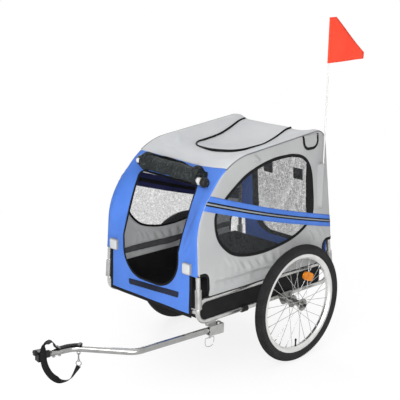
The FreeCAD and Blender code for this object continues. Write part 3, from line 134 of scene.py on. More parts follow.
def metal(name, colour, dark, roughness):
    """Drawn or cast metal with fine grain in its gloss."""
    material, tree, shader, place = new_material(name, colour, roughness, 1.0)
    mottle(tree, shader, place, colour, dark, 30.0)
    fine = add(tree, "TexNoise", Vector=place, Scale=400.0, Detail=3.0)
    gloss = remap(tree, fine.outputs["Fac"], to_start=roughness - 0.08, to_end=roughness + 0.12)
    tree.links.new(gloss, shader.inputs["Roughness"])
    bump(tree, shader, fine.outputs["Fac"], 0.05, 0.0003)
    return material


def plastic(name, colour, dark, roughness=0.45, grain=900.0, specular=0.5):
    """Moulded plastic with a fine spark-eroded grain."""
    material, tree, shader, place = new_material(name, colour, roughness, specular=specular)
    mottle(tree, shader, place, colour, dark, 18.0)
    fine = add(tree, "TexNoise", Vector=place, Scale=grain, Detail=2.0)
    bump(tree, shader, fine.outputs["Fac"], 0.18, 0.0003)
    return material


def prism(name, colour, roughness, scale, strength, distance, specular=0.5):
    """Lens plastic moulded in small prisms."""
    material, tree, shader, place = new_material(name, colour, roughness, specular=specular)
    cells = add(tree, "TexVoronoi", {"distance": "MANHATTAN"}, Vector=place, Scale=scale)
    bump(tree, shader, cells.outputs["Distance"], strength, distance)
    return material, tree, shader, place


def dress(material, *names):
    """Give CAD nodes a finished material."""
    for name in names:
        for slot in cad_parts[name].material_slots:
            slot.material = material


def put(name, data):
    """A new object in the scene."""
    made = bpy.data.objects.new(name, data)
    scene.collection.objects.link(made)
    return made


def piece(name, points, faces, material, body, slot, stands_for=None, smooth=True):
    """A mesh in the model's frame that moves with a body and may stand for a CAD node."""
    mesh = bpy.data.meshes.new(name)
    mesh.from_pydata([tuple(p) for p in points], [], faces)
    mesh.materials.append(material)
    mesh.polygons.foreach_set("use_smooth", [smooth] * len(mesh.polygons))
    mesh.update()
    made = put(name, mesh)
    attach(made, body)
    if stands_for:
        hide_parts(stands_for)
    return made


def thicken(made, thick, offset=0):
    """Give a skin its thickness."""
    shell = made.modifiers.new("thickness", "SOLIDIFY")
    shell.thickness = thick
    shell.offset = offset


def quads(rows, columns, round_rows=False, round_columns=False):
    """Faces between rows of points, which may close on themselves either way."""
    faces = []
    for row in range(rows if round_rows else rows - 1):
        here, below = row * columns, (row + 1) % rows * columns
        for k in range(columns if round_columns else columns - 1):
            after = (k + 1) % columns
            faces.append((here + k, here + after, below + after, below + k))
    return faces


def end_caps(rows, columns):
    """Faces over the two ends of a closed tube of points."""
    return [tuple(k * columns for k in reversed(range(rows))), tuple((k + 1) * columns - 1 for k in range(rows))]


def unit(rows):
    """Rows of numbers brought to length one."""
    return rows / np.linalg.norm(rows, axis=1)[:, None]


def headings(path, closed):
    """Directions along a line of points."""
    after, before = np.roll(path, -1, axis=0), np.roll(path, 1, axis=0)
    if not closed:
        after[-1], before[0] = path[-1], path[0]
    return unit(after - before)


# The frame and wheel metal: bent silver tubes with zinc sockets, black board between the rails
# and for the floor, bright spokes and rims, black plastic clips, buckles and clamp
silver = metal("silver_tube", "#c8c8c6", "#b6b6b4", 0.25)
zinc = metal("zinc_steel", "#b8b8b6", "#a4a4a2", 0.36)
alloy = metal("rim_alloy", "#e2e2e0", "#d4d4d2", 0.34)
bright = metal("bright_wire", "#bcbcbb", "#a6a6a5", 0.26)
black_plastic = plastic("black_plastic", "#101011", "#0a0a0b", 0.5, specular=0.3)
board = plastic("black_board", "#161617", "#0f0f10", 0.7, 500.0, specular=0.15)
hub_steel = metal("hub_steel", "#929290", "#7c7c7a", 0.30)
dress(silver, "left_side_loop", "right_side_loop", "front_cross_tube", "axle_cross_tube", "rear_cross_tube",
      "left_cabin_arch", "right_cabin_arch", "roof_bars")
dress(zinc, "tow_bracket", "tow_pivot_bolt", "hitch_neck", "hitch_bolts", "arch_sockets", "hub_bearings")
dress(bright, "socket_buttons", "lock_pin", "left_spokes", "right_spokes")
dress(alloy, "left_rim", "right_rim")
dress(hub_steel, "left_hub", "right_hub", "left_axle_bracket", "right_axle_bracket", "bracket_bolts", "wheel_axles")
dress(black_plastic, "rail_clips", "left_axle_button", "right_axle_button", "clamp_knob", "clamp_rear_jaw",
      "clamp_front_jaw", "strap_buckles")
dress(board, "infill_panels", "floor_panel")

# The cabin's side outline, from the front foot over the roof to the rear foot,
# and the lean of its sides, which turn round the arches in a soft edge
wheel_low, wheel_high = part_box("left_tyre")
AXLE_X = (wheel_low.x + wheel_high.x) / 2
CABIN = [((0.516, 0.283), 0), ((0.516, 0.680), 0.260), ((0.331, 0.889), 0.290), ((-0.255, 0.945), 0.060),
         ((-0.312, 0.283), 0)]
CLOTH, NET_THICK, SLANTING = 0.0014, 0.0004, 0.4
EDGE_BEND = 0.012
EDGE_INSET = EDGE_BEND * (1 - math.cos(math.pi / 4))
loop_low, loop_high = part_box("left_side_loop")
HALF_FRAME = (loop_low.y + loop_high.y) / 2
LEAN = math.radians(3.4)
LEAN_HEIGHT = 0.400
COVER_OUT = 0.0108
STEP = 0.010


def rounded(corners, closed=True, step=STEP):
    """Points along straight runs and tangent arcs, close enough for cloth to bend along them."""
    count = len(corners)
    path = []
    for index, (corner, bend) in enumerate(corners):
        here = Vector(corner)
        if bend == 0 or (not closed and index in (0, count - 1)):
            path.append(here)
            continue
        back = (Vector(corners[index - 1][0]) - here).normalized()
        ahead = (Vector(corners[(index + 1) % count][0]) - here).normalized()
        half = back.angle(ahead) / 2
        middle = here + (back + ahead).normalized() * (bend / math.sin(half))
        start = here + back * (bend / math.tan(half)) - middle
        turn = math.pi - 2 * half
        way = 1 if back.x * ahead.y - back.y * ahead.x < 0 else -1
        pieces = max(3, math.ceil(bend * turn / step))
        for k in range(pieces + 1):
            path.append(middle + Matrix.Rotation(way * turn * k / pieces, 2) @ start)
    full = []
    for index, point in enumerate(path):
        full.append(point)
        if index == len(path) - 1 and not closed:
            break
        following = path[(index + 1) % len(path)]
        gaps = math.ceil((following - point).length / step)
        full += [point.lerp(following, k / gaps) for k in range(1, gaps)]
    return np.array([tuple(p) for p in full])


def rectangle(low, high, bend, **more):
    """A rectangle with round corners."""
    (u, v), (end_u, end_v) = low, high
    return rounded([((u, v), bend), ((end_u, v), bend), ((end_u, end_v), bend), ((u, end_v), bend)], **more)


def smooth_line(rows, pieces, closed=False):
    """A smooth curve through rows of numbers."""
    rows = np.array(rows, float)
    first, last = (rows[-1:], rows[:2]) if closed else ([2 * rows[0] - rows[1]], [2 * rows[-1] - rows[-2]])
    padded_rows = np.concatenate([first, rows, last])
    full = []
    for a, b, c, d in zip(padded_rows, padded_rows[1:], padded_rows[2:], padded_rows[3:]):
        for k in range(pieces):
            t = k / pieces
            full.append(0.5 * (2 * b + (c - a) * t + (2 * a - 5 * b + 4 * c - d) * t ** 2
                               + (3 * b - a - 3 * c + d) * t ** 3))
    if not closed:
        full.append(rows[-1])
    return np.array(full)


profile = rounded(CABIN, closed=False, step=0.004)
profile_run = np.concatenate([[0], np.cumsum(np.linalg.norm(np.diff(profile, axis=0), axis=1))])
profile_way = unit(np.gradient(profile, profile_run, axis=0))
profile_out = np.column_stack([profile_way[:, 1], -profile_way[:, 0]])
TOP = int(np.argmax(profile[:, 1]))


def along(run, table):
    """A column of values read at places along the outline."""
    return np.stack([np.interp(run, profile_run, table[:, k]) for k in range(table.shape[1])], axis=-1)


def front_run(height):
    """The place along the outline at a height of the front."""
    return float(np.interp(height, profile[:TOP, 1], profile_run[:TOP]))


def rear_run(height):
    """The place along the outline at a height of the rear."""
    return float(np.interp(-height, -profile[TOP:, 1], profile_run[TOP:]))


def wall(height):
    """Half the width between the side covers, to the soft edge round the arch."""
    lean_in = (height - LEAN_HEIGHT) * math.tan(LEAN)
    return HALF_FRAME + COVER_OUT + CLOTH / 2 - lean_in - EDGE_INSET


def ripple(points, size, depth, seed):
    """Small unevenness of slack cloth."""
    return np.array([noise.noise(Vector(p) / size + Vector((seed, seed * 0.7, 0))) for p in points]) * depth


def creases(spots, lines):
    """Pulled folds: low ridges along short lines, fading at their ends."""
    total = np.zeros(len(spots))
    for u, v, end_u, end_v, width, height in lines:
        start, way = np.array([u, v]), np.array([end_u - u, end_v - v])
        share = ((spots - start) @ way) / (way @ way)
        off = np.linalg.norm(spots - start - share[:, None] * way, axis=1)
        total += height * np.exp(-(off / width) ** 2) * np.clip(4 * share * (1 - share), 0, 1)
    return total


def fold(distance):
    """How far cloth turns away near its edge, round an arch tube, up to 45 degrees."""
    near = np.clip(EDGE_BEND * math.sqrt(0.5) - distance, 0, None)
    return EDGE_BEND - np.sqrt(np.clip(EDGE_BEND ** 2 - near ** 2, 0, None))


# Cutting cloth: a flat outline with its openings is meshed, then lifted on to its surface
def inside(points, loops):
    """Which points lie within the outline and outside its openings."""
    hit = np.zeros(len(points), bool)
    for loop in loops:
        for (u0, v0), (u1, v1) in zip(loop, np.roll(loop, -1, axis=0)):
            cross = (v0 > points[:, 1]) != (v1 > points[:, 1])
            place = u0 + (points[:, 1] - v0) * (u1 - u0) / np.where(cross, v1 - v0, 1)
            hit ^= cross & (points[:, 0] < place)
    return hit


def edge_distance(points, loops, closed=True):
    """How far points lie from the nearest edge."""
    best = np.full(len(points), 9.0)
    for loop in loops:
        for a, b in zip(loop, np.roll(loop, -1, axis=0) if closed else loop[1:]):
            run = b - a
            share = np.clip(((points - a) @ run) / max(run @ run, 1e-12), 0, 1)
            best = np.minimum(best, np.linalg.norm(points - a - share[:, None] * run, axis=1))
    return best


def cut_sheet(name, outline, lift, material, slot, holes=(), body="trailer", stands_for=None, spacing=STEP,
              thick=CLOTH):
    """A piece of cloth cut to an outline, lifted to its place and given its thickness."""
    loops = [outline, *holes]
    low, high = outline.min(axis=0), outline.max(axis=0)
    rows = np.arange(low[1] + spacing / 2, high[1], spacing * math.sqrt(0.75))
    grid = np.array([(u, v) for k, v in enumerate(rows)
                     for u in np.arange(low[0] + spacing * (0.5 + 0.5 * (k % 2)), high[0], spacing)])
    grid = grid[inside(grid, loops)]
    grid = grid[edge_distance(grid, loops) > spacing * 0.55]
    points = [Vector(p) for loop in loops for p in loop] + [Vector(p) for p in grid]
    edges = []
    start = 0
    for loop in loops:
        edges += [(start + k, start + (k + 1) % len(loop)) for k in range(len(loop))]
        start += len(loop)
    flat, _, faces, *_ = geometry.delaunay_2d_cdt(points, edges, [], 1, 1e-6)
    flat = np.array([tuple(p) for p in flat])
    centres = np.array([flat[list(f)].mean(axis=0) for f in faces])
    faces = [f for f, keep in zip(faces, inside(centres, loops)) if keep]
    made = piece(name, lift(flat, 0.0), faces, material, body, slot, stands_for)
    thicken(made, thick)
    corners = flat[np.array(faces)]
    sides = corners[:, 1:] - corners[:, :1]
    area = np.abs(sides[:, 0, 0] * sides[:, 1, 1] - sides[:, 0, 1] * sides[:, 1, 0]).sum() / 2
    made["cut"] = (*(high - low), area)
    return made


def sew(name, outline, lift, material, slot, rests_on, held="stretched", with_pieces=(), **cut):
    """A sheet cut to an outline, which keeps the size that it was cut to; for a slanting strip, a length along the
    strip and a width are worked out but not kept.
    """
    made = cut_sheet(name, outline, lift, material, slot, **cut)
    width, length, area = made["cut"]
    if area < SLANTING * width * length:
        length = math.hypot(width, length)
        width = area / length
    min(area, width * length)


def raised(lift, by):
    """A surface a little further out."""
    return lambda spots, up: lift(spots, up + by)


def tape(name, path, width, lift, into=1, closed=True, proud=0.0011, lap=0.0):
    """Binding folded over an edge of cloth: a strip on each face, joined round the edge.
    Where it lies over a net instead, it laps back on to the cloth."""
    run = headings(path, closed)
    inward = np.column_stack([-run[:, 1], run[:, 0]]) * into
    widths = np.full(len(path), width) if np.isscalar(width) else np.array(width)
    inner = path + inward * widths[:, None]
    path = path - inward * lap
    rim = path - inward * proud
    rows = [lift(inner, proud * 0.6), lift(inner - inward * 0.0015, proud), lift(path, proud), lift(rim, 0.0),
            lift(path, -proud), lift(inner, -proud)]
    faces = quads(len(rows), len(path), True, closed)
    if not closed:
        faces += [cap[::-1] for cap in end_caps(len(rows), len(path))]
    piece(name, np.concatenate(rows), faces, binding, "trailer", "black_webbing")


def cord_mesh(name, path, radius, material, body, slot, sides=8):
    """Round piping along a line of points."""
    run = headings(path, False)
    first = unit(np.cross(run, np.array([0.3, 0.2, 1.0])))
    second = np.cross(run, first)
    points = []
    for k in range(sides):
        angle = 2 * math.pi * k / sides
        points.append(path + (first * math.cos(angle) + second * math.sin(angle)) * np.reshape(radius, (-1, 1)))
    faces = quads(sides, len(path), True) + end_caps(sides, len(path))
    piece(name, np.concatenate(points), faces, material, body, slot)


# Front, roof and rear cloth: one band over the arches. The roof sags between them, and
# round the doorway the cloth pulls straight from the lower hem to the roof's front bar.
SAG_X = (-0.135, -0.116, -0.095, -0.058, -0.021, 0.015, 0.062, 0.131, 0.235, 0.330)
SAG_DEPTH = (0.0, 0.003, 0.011, 0.0235, 0.033, 0.040, 0.041, 0.037, 0.018, 0.0)
FRONT_SEAM = front_run(0.853)
REAR_SEAM = rear_run(0.905)
ARCH_REST = 0.024
SEAM_Y = (-0.245, 0.0, 0.13, 0.19, 0.245)
SEAM_BOW = (-0.0055, -0.009, -0.010, -0.003, 0.008)
BOW_REACH, SAG_ROUND, PULL_WIDE = 0.06, 0.8, 1.7
BAND_RIPPLE, SIDE_RIPPLE = (0.11, 0.0022, 3.0), (0.13, 0.0030)
OUTLINE_STEP, EDGE_STEP, GAP_STEPS, STRIP_STEPS = 0.012, 0.009, 40, 80


def chord_depth(start, end, first, last):
    """How far the outline stands out from a straight pull between two of its points."""
    way = np.array(end) - np.array(start)
    out = np.array([way[1], -way[0]]) / np.linalg.norm(way)
    depth = np.clip((profile - np.array(start)) @ out, 0, None)
    depth[(profile_run < first) | (profile_run > last)] = 0
    return depth


NOSE_LOW, NOSE_HIGH = (0.521, 0.520), (0.428, 0.785)
TAIL_HIGH, TAIL_LOW = (-0.158, 0.9357), (-0.2585, 0.8985)
nose_pull = chord_depth(NOSE_LOW, NOSE_HIGH, 0.0, front_run(0.80))
tail_pull = chord_depth(TAIL_HIGH, TAIL_LOW, float(profile_run[TOP - 12]), rear_run(0.895))
BAND_CREASES = [(y, front_run(z), end_y, front_run(end_z), width, height) for y, z, end_y, end_z, width, height in (
    (0.186, 0.528, 0.236, 0.690, 0.009, 0.0040), (0.200, 0.520, 0.232, 0.600, 0.006, 0.0035),
    (0.175, 0.600, 0.238, 0.735, 0.008, -0.0030), (0.182, 0.440, 0.236, 0.430, 0.008, 0.0025),
    (-0.188, 0.872, -0.078, 0.858, 0.010, 0.0035), (-0.165, 0.884, -0.040, 0.872, 0.009, -0.0030),
    (-0.215, 0.905, -0.115, 0.893, 0.012, 0.0035), (-0.140, 0.915, -0.165, 0.935, 0.012, 0.0030),
    (0.222, 0.880, 0.150, 0.874, 0.010, 0.0030), (0.215, 0.915, 0.160, 0.905, 0.012, -0.0025))]
BAND_GAIN, SIDE_GAIN = 1.5, 1.7


def band_lift(spots, raise_by):
    """Places on the front, roof and rear cloth from (across, along the outline)."""
    side_y, run = spots[:, 0], spots[:, 1]
    centre = along(run, profile)
    out = along(run, profile_out)
    half = wall(centre[:, 1])
    across = np.clip(np.abs(side_y) / half, 0, 1)
    depth = CLOTH / 2 + fold(half - np.abs(side_y))
    between = np.clip(np.abs(side_y) / (half - ARCH_REST), 0, 1)
    hang = 1 - between ** 2
    depth = depth + np.interp(centre[:, 0], SAG_X, SAG_DEPTH) * hang ** SAG_ROUND
    pull = np.clip(hang * PULL_WIDE, 0, 1)
    depth = depth + np.interp(run, profile_run, nose_pull + tail_pull) * pull
    slack = ripple(np.column_stack([side_y, run, run * 0]), *BAND_RIPPLE)
    slack = (slack + creases(spots, BAND_CREASES) * BAND_GAIN) * np.clip(1 - across ** 4, 0, 1)
    depth = depth - slack - raise_by
    return np.column_stack([AXLE_X + centre[:, 0] - out[:, 0] * depth, side_y, centre[:, 1] - out[:, 1] * depth])


def bowed(outline):
    """The seam between nose and roof is sewn with a bow."""
    near = np.clip(1 - np.abs(outline[:, 1] - FRONT_SEAM) / BOW_REACH, 0, 1)
    return np.column_stack([outline[:, 0], outline[:, 1] + near * np.interp(outline[:, 0], SEAM_Y, SEAM_BOW)])


def band_outline(low, high, foot_half=0.0, foot_high=0.0):
    """Outline of a stretch of the band, narrower at a foot that clears the sockets."""
    stations = np.append(np.arange(low, high, OUTLINE_STEP), high)
    heights = along(stations, profile)[:, 1]
    right = list(zip(np.where(heights < foot_high, foot_half, wall(heights)), stations))
    if foot_high:
        step = front_run(foot_high) if low == 0 else rear_run(foot_high)
        corner = [(foot_half, step), (float(wall(foot_high)), step)]
        right = [p for p in right if p[1] < step] + (corner if low == 0 else corner[::-1]) \
            + [p for p in right if p[1] > step]
    left = [(-y, s) for y, s in reversed(right)]
    bottom_gap = np.linspace(-right[0][0], right[0][0], GAP_STEPS)[1:-1]
    top_gap = np.linspace(right[-1][0], -right[-1][0], GAP_STEPS)[1:-1]
    return np.array([(y, low) for y in bottom_gap] + right + [(y, high) for y in top_gap] + left)


blue = cloth("blue_cloth", "#5684da", "#4b78cc", through=0.22, sheen=0.08)
roof_grey = cloth("roof_cloth", "#cfd1d3", "#c6c8cb", through=0.22, sheen=0.05)
side_grey = cloth("side_cloth", "#c3c4c4", "#b7b8b9", through=0.38, sheen=0.05)
binding = cloth("black_binding", "#161617", "#0f0f10", thread=0.0011, roughness=0.7)
DOOR_FOOT, DOOR_TOP = 0.374, 0.786
FOOT_HALF, CUT_TOP = 0.241, 0.454
door = rounded([((y, front_run(z)), bend) for y, z, bend in (
    (-0.157, DOOR_FOOT, 0.110), (0.151, DOOR_FOOT, 0.118), (0.166, DOOR_TOP, 0.02), (-0.161, DOOR_TOP, 0.02))])
front_outline = bowed(band_outline(0.0, FRONT_SEAM, FOOT_HALF, CUT_TOP))
ARCHES = ["left_cabin_arch", "right_cabin_arch"]
FINE, FINER, FINEST = 0.007, 0.006, 0.0048
DOOR_TAPE, HEM_TAPE, TAPE_LAP = 0.0080, 0.014, 0.003
sew("front_cloth", front_outline, band_lift, blue, "blue_cloth", ["front_cross_tube", *ARCHES], holes=[door],
    stands_for="front_panel", spacing=FINE)
tape("door_binding", door, DOOR_TAPE, band_lift, into=-1)
hem_points = rounded([((-FOOT_HALF, front_run(CUT_TOP)), 0), ((-FOOT_HALF, 0), 0.002), ((FOOT_HALF, 0), 0.002),
                      ((FOOT_HALF, front_run(CUT_TOP)), 0)], closed=False)
tape("front_hem", hem_points, HEM_TAPE, band_lift, closed=False)

roof_outline = bowed(band_outline(FRONT_SEAM, REAR_SEAM))
sew("roof_cloth", roof_outline, band_lift, roof_grey, "roof_cloth", ARCHES, stands_for="roof_cover", spacing=FINE)

REAR_TAPE, TAPE_SPREAD = 0.016, 0.08
WINDOW_HALF, WINDOW_LOW, WINDOW_HIGH, WINDOW_BEND, REAR_FOOT = 0.186, 0.398, 0.860, 0.110, 0.345
rear_window = rectangle((-WINDOW_HALF, rear_run(WINDOW_HIGH)), (WINDOW_HALF, rear_run(WINDOW_LOW)), WINDOW_BEND)
rear_outline = band_outline(REAR_SEAM, rear_run(REAR_FOOT), FOOT_HALF, CUT_TOP)
sew("rear_cloth", rear_outline, band_lift, blue, "blue_cloth", ["rear_cross_tube", *ARCHES], holes=[rear_window],
    stands_for="rear_panel")
rear_tape = REAR_TAPE + REAR_TAPE * np.clip((np.abs(rear_window[:, 0]) - TAPE_SPREAD) / TAPE_SPREAD, 0, 1)
tape("rear_window_binding", rear_window, rear_tape, band_lift, lap=TAPE_LAP)

# Side covers: grey cloth turned round the arches at its edge, cut away at the arches' feet,
# with small pleats above the rail where the cloth is gathered into its hem
SIDE_FOOT, CUT_FRONT, CUT_REAR, CUT_BEND = 0.365, 0.462, -0.242, 0.022
edge_run = np.append(np.arange(front_run(CUT_TOP), rear_run(CUT_TOP), EDGE_STEP), rear_run(CUT_TOP))
side_edge = along(edge_run, profile) - along(edge_run, profile_out) * EDGE_INSET
side_foot = rounded([(tuple(side_edge[-1]), 0), ((CUT_REAR, CUT_TOP), CUT_BEND), ((CUT_REAR, SIDE_FOOT), 0.010),
                     ((CUT_FRONT, SIDE_FOOT), 0.010), ((CUT_FRONT, CUT_TOP), CUT_BEND),
                     (tuple(side_edge[0]), 0)], closed=False)
side_outline = np.concatenate([side_edge, side_foot[1:-1]])
WINDOW = [(0.417, 0.653), (0.411, 0.690), (0.391, 0.713), (0.364, 0.735), (0.317, 0.770), (0.253, 0.809),
          (0.180, 0.836), (0.106, 0.853), (0.030, 0.860), (-0.051, 0.857), (-0.119, 0.834), (-0.159, 0.778),
          (-0.171, 0.690), (-0.168, 0.593), (-0.119, 0.540), (-0.031, 0.505), (0.071, 0.488), (0.155, 0.482),
          (0.236, 0.487), (0.316, 0.507), (0.371, 0.545), (0.405, 0.591)]
window = smooth_line(WINDOW, 6, closed=True)
SIDE_CREASES = [(0.450, 0.424, 0.020, 0.418, 0.006, 0.0040), (0.430, 0.412, 0.060, 0.404, 0.012, -0.0035),
                (0.220, 0.400, 0.110, 0.395, 0.022, -0.0050), (-0.138, 0.520, -0.176, 0.462, 0.008, 0.0040),
                (-0.176, 0.522, -0.230, 0.458, 0.009, 0.0040), (-0.215, 0.520, -0.250, 0.472, 0.007, 0.0030),
                (0.222, 0.905, 0.150, 0.850, 0.010, 0.0045), (0.190, 0.898, 0.136, 0.866, 0.008, -0.0035)]
SIDE_CREASES += [(x, z, x - 0.040, z - 0.058, 0.0075, height) for x, z, height in (
    (0.370, 0.522, 0.0020), (0.335, 0.506, 0.0028), (0.303, 0.494, 0.0030), (0.278, 0.488, -0.0022),
    (0.253, 0.484, 0.0034), (0.232, 0.482, -0.0024), (0.210, 0.482, 0.0034), (0.188, 0.482, -0.0026),
    (0.165, 0.484, 0.0036), (0.140, 0.484, -0.0024), (0.116, 0.486, 0.0030), (0.092, 0.488, -0.0020),
    (0.068, 0.490, 0.0028), (0.030, 0.492, 0.0018), (-0.010, 0.496, 0.0016))]
PLEAT_HEIGHT, PLEAT_SPREAD, PLEAT_DEPTH, PLEAT_FADE = 0.425, 0.045, 0.0011, 0.05
SLACK_FADE, TRIM_FADE, WINDOW_FADE = 0.03, 0.012, 0.022


def side_lift(sign, outward=0.0):
    """Places on one side cover from (along, height), in the leaning plane of its wall."""
    def lift(spots, raise_by):
        x, z = spots[:, 0], spots[:, 1]
        near = edge_distance(spots, [side_edge], closed=False)
        below = np.exp(-((z - PLEAT_HEIGHT) / PLEAT_SPREAD) ** 2) * np.clip(near / PLEAT_FADE, 0, 1)
        pleats = np.sin(x / 0.0075 + 2.2 * np.sin(x / 0.05)) * below * PLEAT_DEPTH
        clear = np.clip(edge_distance(spots, [window]) / WINDOW_FADE - 0.45, 0, 1)
        slack = ripple(np.column_stack([x, z, x * 0]), *SIDE_RIPPLE, 7.0 + sign)
        slack = (slack + creases(spots, SIDE_CREASES) * SIDE_GAIN * clear) * np.clip(near / SLACK_FADE, 0, 1)
        out = COVER_OUT + outward * np.clip(near / TRIM_FADE, 0.55, 1) + raise_by + pleats + slack - fold(near)
        y = HALF_FRAME + out * math.cos(LEAN) - (z - LEAN_HEIGHT) * math.sin(LEAN)
        height = LEAN_HEIGHT + out * math.sin(LEAN) + (z - LEAN_HEIGHT) * math.cos(LEAN)
        return np.column_stack([AXLE_X + x, sign * y, height])
    return lift


def net(name, colour, axes, pitch=0.0046, thread=0.945):
    """Open net: crossed threads, a little wavy, with clear gaps between them."""
    material, tree, shader, place = new_material(name, colour, 0.7)
    drift = add(tree, "TexNoise", Vector=place, Scale=90.0, Detail=1.0)
    slack = remap(tree, drift.outputs["Fac"], 0.3, 0.7, thread - 0.05, thread + 0.05)
    moved = add(tree, "VectorMath", {"operation": "MULTIPLY_ADD"}, _0=drift.outputs["Color"], _1=(0.003, 0.003, 0.003),
                _2=place)
    height = threads(tree, moved.outputs[0], axes, pitch, "MAXIMUM")
    cover = work(tree, "GREATER_THAN", height, slack)
    tree.links.new(cover, shader.inputs["Alpha"])
    return material


def band_strip(sign, half):
    """Outline of a lengthwise strip in the middle of the side band.
    The right band is sewn a little higher than the left one."""
    rise = 0 if sign > 0 else BAND_RISE
    share = np.linspace(0, 1, STRIP_STEPS)[:, None]
    lines = []
    for offset in (rise - half, rise + half):
        ends = np.array([front_run(BAND_FRONT + offset), rear_run(BAND_REAR + offset)])
        ends = along(ends, profile) - along(ends, profile_out) * EDGE_INSET
        line = ends[0] * (1 - share) + ends[1] * share
        line[:, 1] -= BAND_SAG * np.sin(np.pi * share[:, 0])
        lines.append(line)
    return np.concatenate([lines[0][::-1], lines[1]])


BAND_FRONT, BAND_REAR, BAND_SAG, BAND_HALF, BAND_RISE = 0.740, 0.536, 0.010, 0.026, 0.015
side_net = net("side_net", "#3c3f41", ("X", "Z"))
silver_tape = cloth("silver_tape", "#8d9296", "#7d8287", thread=0.0008, roughness=0.5)
piping = cloth("seam_piping", "#77797c", "#66686b", thread=0.0009)
TAB = [((-0.103, 0.925), 0), ((-0.202, 0.929), 0), ((-0.200, 0.865), 0.036), ((-0.110, 0.865), 0.036)]
tab_edge = rounded([*TAB[1:], TAB[0]], closed=False)
window_tape = np.maximum(0.0095, -0.126 - window[:, 0])
foot_tape = np.interp(side_foot[:, 1], (SIDE_FOOT, SIDE_FOOT + 0.030), (0.0025, 0.012))
# Painted shade: a dark navy sheet inside each blue band stands for the band's inner face in shade
painted_shade_navy = cloth("band_painted_shade", "#2c2f58", "#20223f", thread=0.0020, relief=0.8)
strap_outline = rectangle((-0.235, 0.404), (0.450, 0.428), 0.004)
strap_grey = cloth("wall_strap", "#4a4a4c", "#3c3c3e", thread=0.0014)
roof_edge = (edge_run > FRONT_SEAM) & (edge_run < REAR_SEAM)

# On each side: the cover with its netted window, a slanting blue band with a dark and a bright
# stripe, a navy sheet inside the band that paints shade on its inner face, a bound tab at the rear, and a strap inside
# the foot
NARROW = {"spacing": 0.008, "thick": 0.0009}
NET = {"spacing": 0.018, "thick": NET_THICK}
TRIM_OUT, PIPING, TAB_TAPE = 0.0006, 0.0026, 0.011
BRIGHT_HALF, DARK_HALF, SEAM_HALF = 0.0026, 0.0078, 0.0070
BAND_OUT, DARK_OUT, BRIGHT_OUT, TAB_OUT = 0.0030, 0.0045, 0.0056, 0.0026
SHADE_SHEET_OUT, SEAM_OUT, STRAP_OUT = -0.0030, -0.0042, -0.0062
for side, sign in SIDES:
    lift = side_lift(sign)
    cover = [side + "_cover_cloth"]
    sew(cover[0], side_outline, lift, side_grey, "side_cloth", [side + "_cabin_arch"], holes=[window],
        stands_for=side + "_side_cover", spacing=FINEST)
    sew(side + "_net", window, lift, side_net, "fly_net", cover, stands_for=side + "_window_net", **NET)
    tape(side + "_window_binding", window, window_tape, side_lift(sign, TRIM_OUT), lap=TAPE_LAP)
    tape(side + "_foot_binding", side_foot, foot_tape, lift, closed=False)
    cord_mesh(side + "_seam_piping", lift(side_edge[roof_edge], TRIM_OUT), PIPING, piping, "trailer", "side_cloth")
    band = band_strip(sign, BAND_HALF)
    sew(side + "_band", band, side_lift(sign, BAND_OUT), blue, "blue_cloth", cover, stands_for=side + "_side_band")
    stripe = cut_sheet(side + "_bright_stripe", band_strip(sign, BRIGHT_HALF), side_lift(sign, BRIGHT_OUT),
                       silver_tape, "side_cloth", **NARROW)
    sew(side + "_dark_stripe", band_strip(sign, DARK_HALF), side_lift(sign, DARK_OUT), binding,
        "black_webbing", [side + "_band"], with_pieces=[stripe], **NARROW)
    # The navy sheet behind the band paints the shade on its inner face; a black stripe runs along its middle
    seam = cut_sheet(side + "_shade_sheet_stripe", band_strip(sign, SEAM_HALF), side_lift(sign, SEAM_OUT), binding,
                     "black_webbing", **NARROW)
    sew(side + "_band_painted_shade", band, side_lift(sign, SHADE_SHEET_OUT), painted_shade_navy, "blue_cloth", cover, with_pieces=[seam],
        thick=NARROW["thick"])
    sew(side + "_tab", rounded(TAB), side_lift(sign, TAB_OUT), side_grey, "side_cloth", cover, "hung", spacing=FINE)
    tape(side + "_tab_binding", tab_edge, TAB_TAPE, side_lift(sign, TAB_OUT), closed=False)
    sew(side + "_wall_strap", strap_outline, side_lift(sign, STRAP_OUT), strap_grey, "black_webbing", cover,
        spacing=FINER)

# Rear window: its net, and two square patches of hook tape sewn on the inside of the net
sew("rear_net", rear_window, band_lift, net("rear_net", "#3c3f41", ("Y", "Z")), "fly_net", ["rear_cloth"],
    stands_for="rear_window_net", **NET)
PATCH_HALF_Y, PATCH_HALF_Z, PATCH_Y, PATCH_Z, PATCH_IN, PATCH_THICK = 0.027, 0.025, 0.088, 0.713, -0.0016, 0.0012
for side, sign in SIDES:
    middle = sign * PATCH_Y
    patch = rectangle((middle - PATCH_HALF_Y, rear_run(PATCH_Z + PATCH_HALF_Z)),
                      (middle + PATCH_HALF_Y, rear_run(PATCH_Z - PATCH_HALF_Z)), 0.003)
    sew(side + "_net_patch", patch, raised(band_lift, PATCH_IN), binding, "black_webbing", ["rear_net"],
        spacing=FINER, thick=PATCH_THICK)

# Roof flap: a tongue of roof cloth sewn on at its rear edge, which follows the roof's sag
# and has a rolled black edge of uneven thickness
FLAP_REAR, FLAP_HALF, FLAP_RISE = -0.158, 0.133, 0.0034


def roof_run(x):
    """The place along the outline above a point of the roof."""
    span = slice(int(np.argmax(profile_run > FRONT_SEAM)), int(np.argmax(profile_run > REAR_SEAM)))
    return float(np.interp(-x, -profile[span, 0], profile_run[span]))


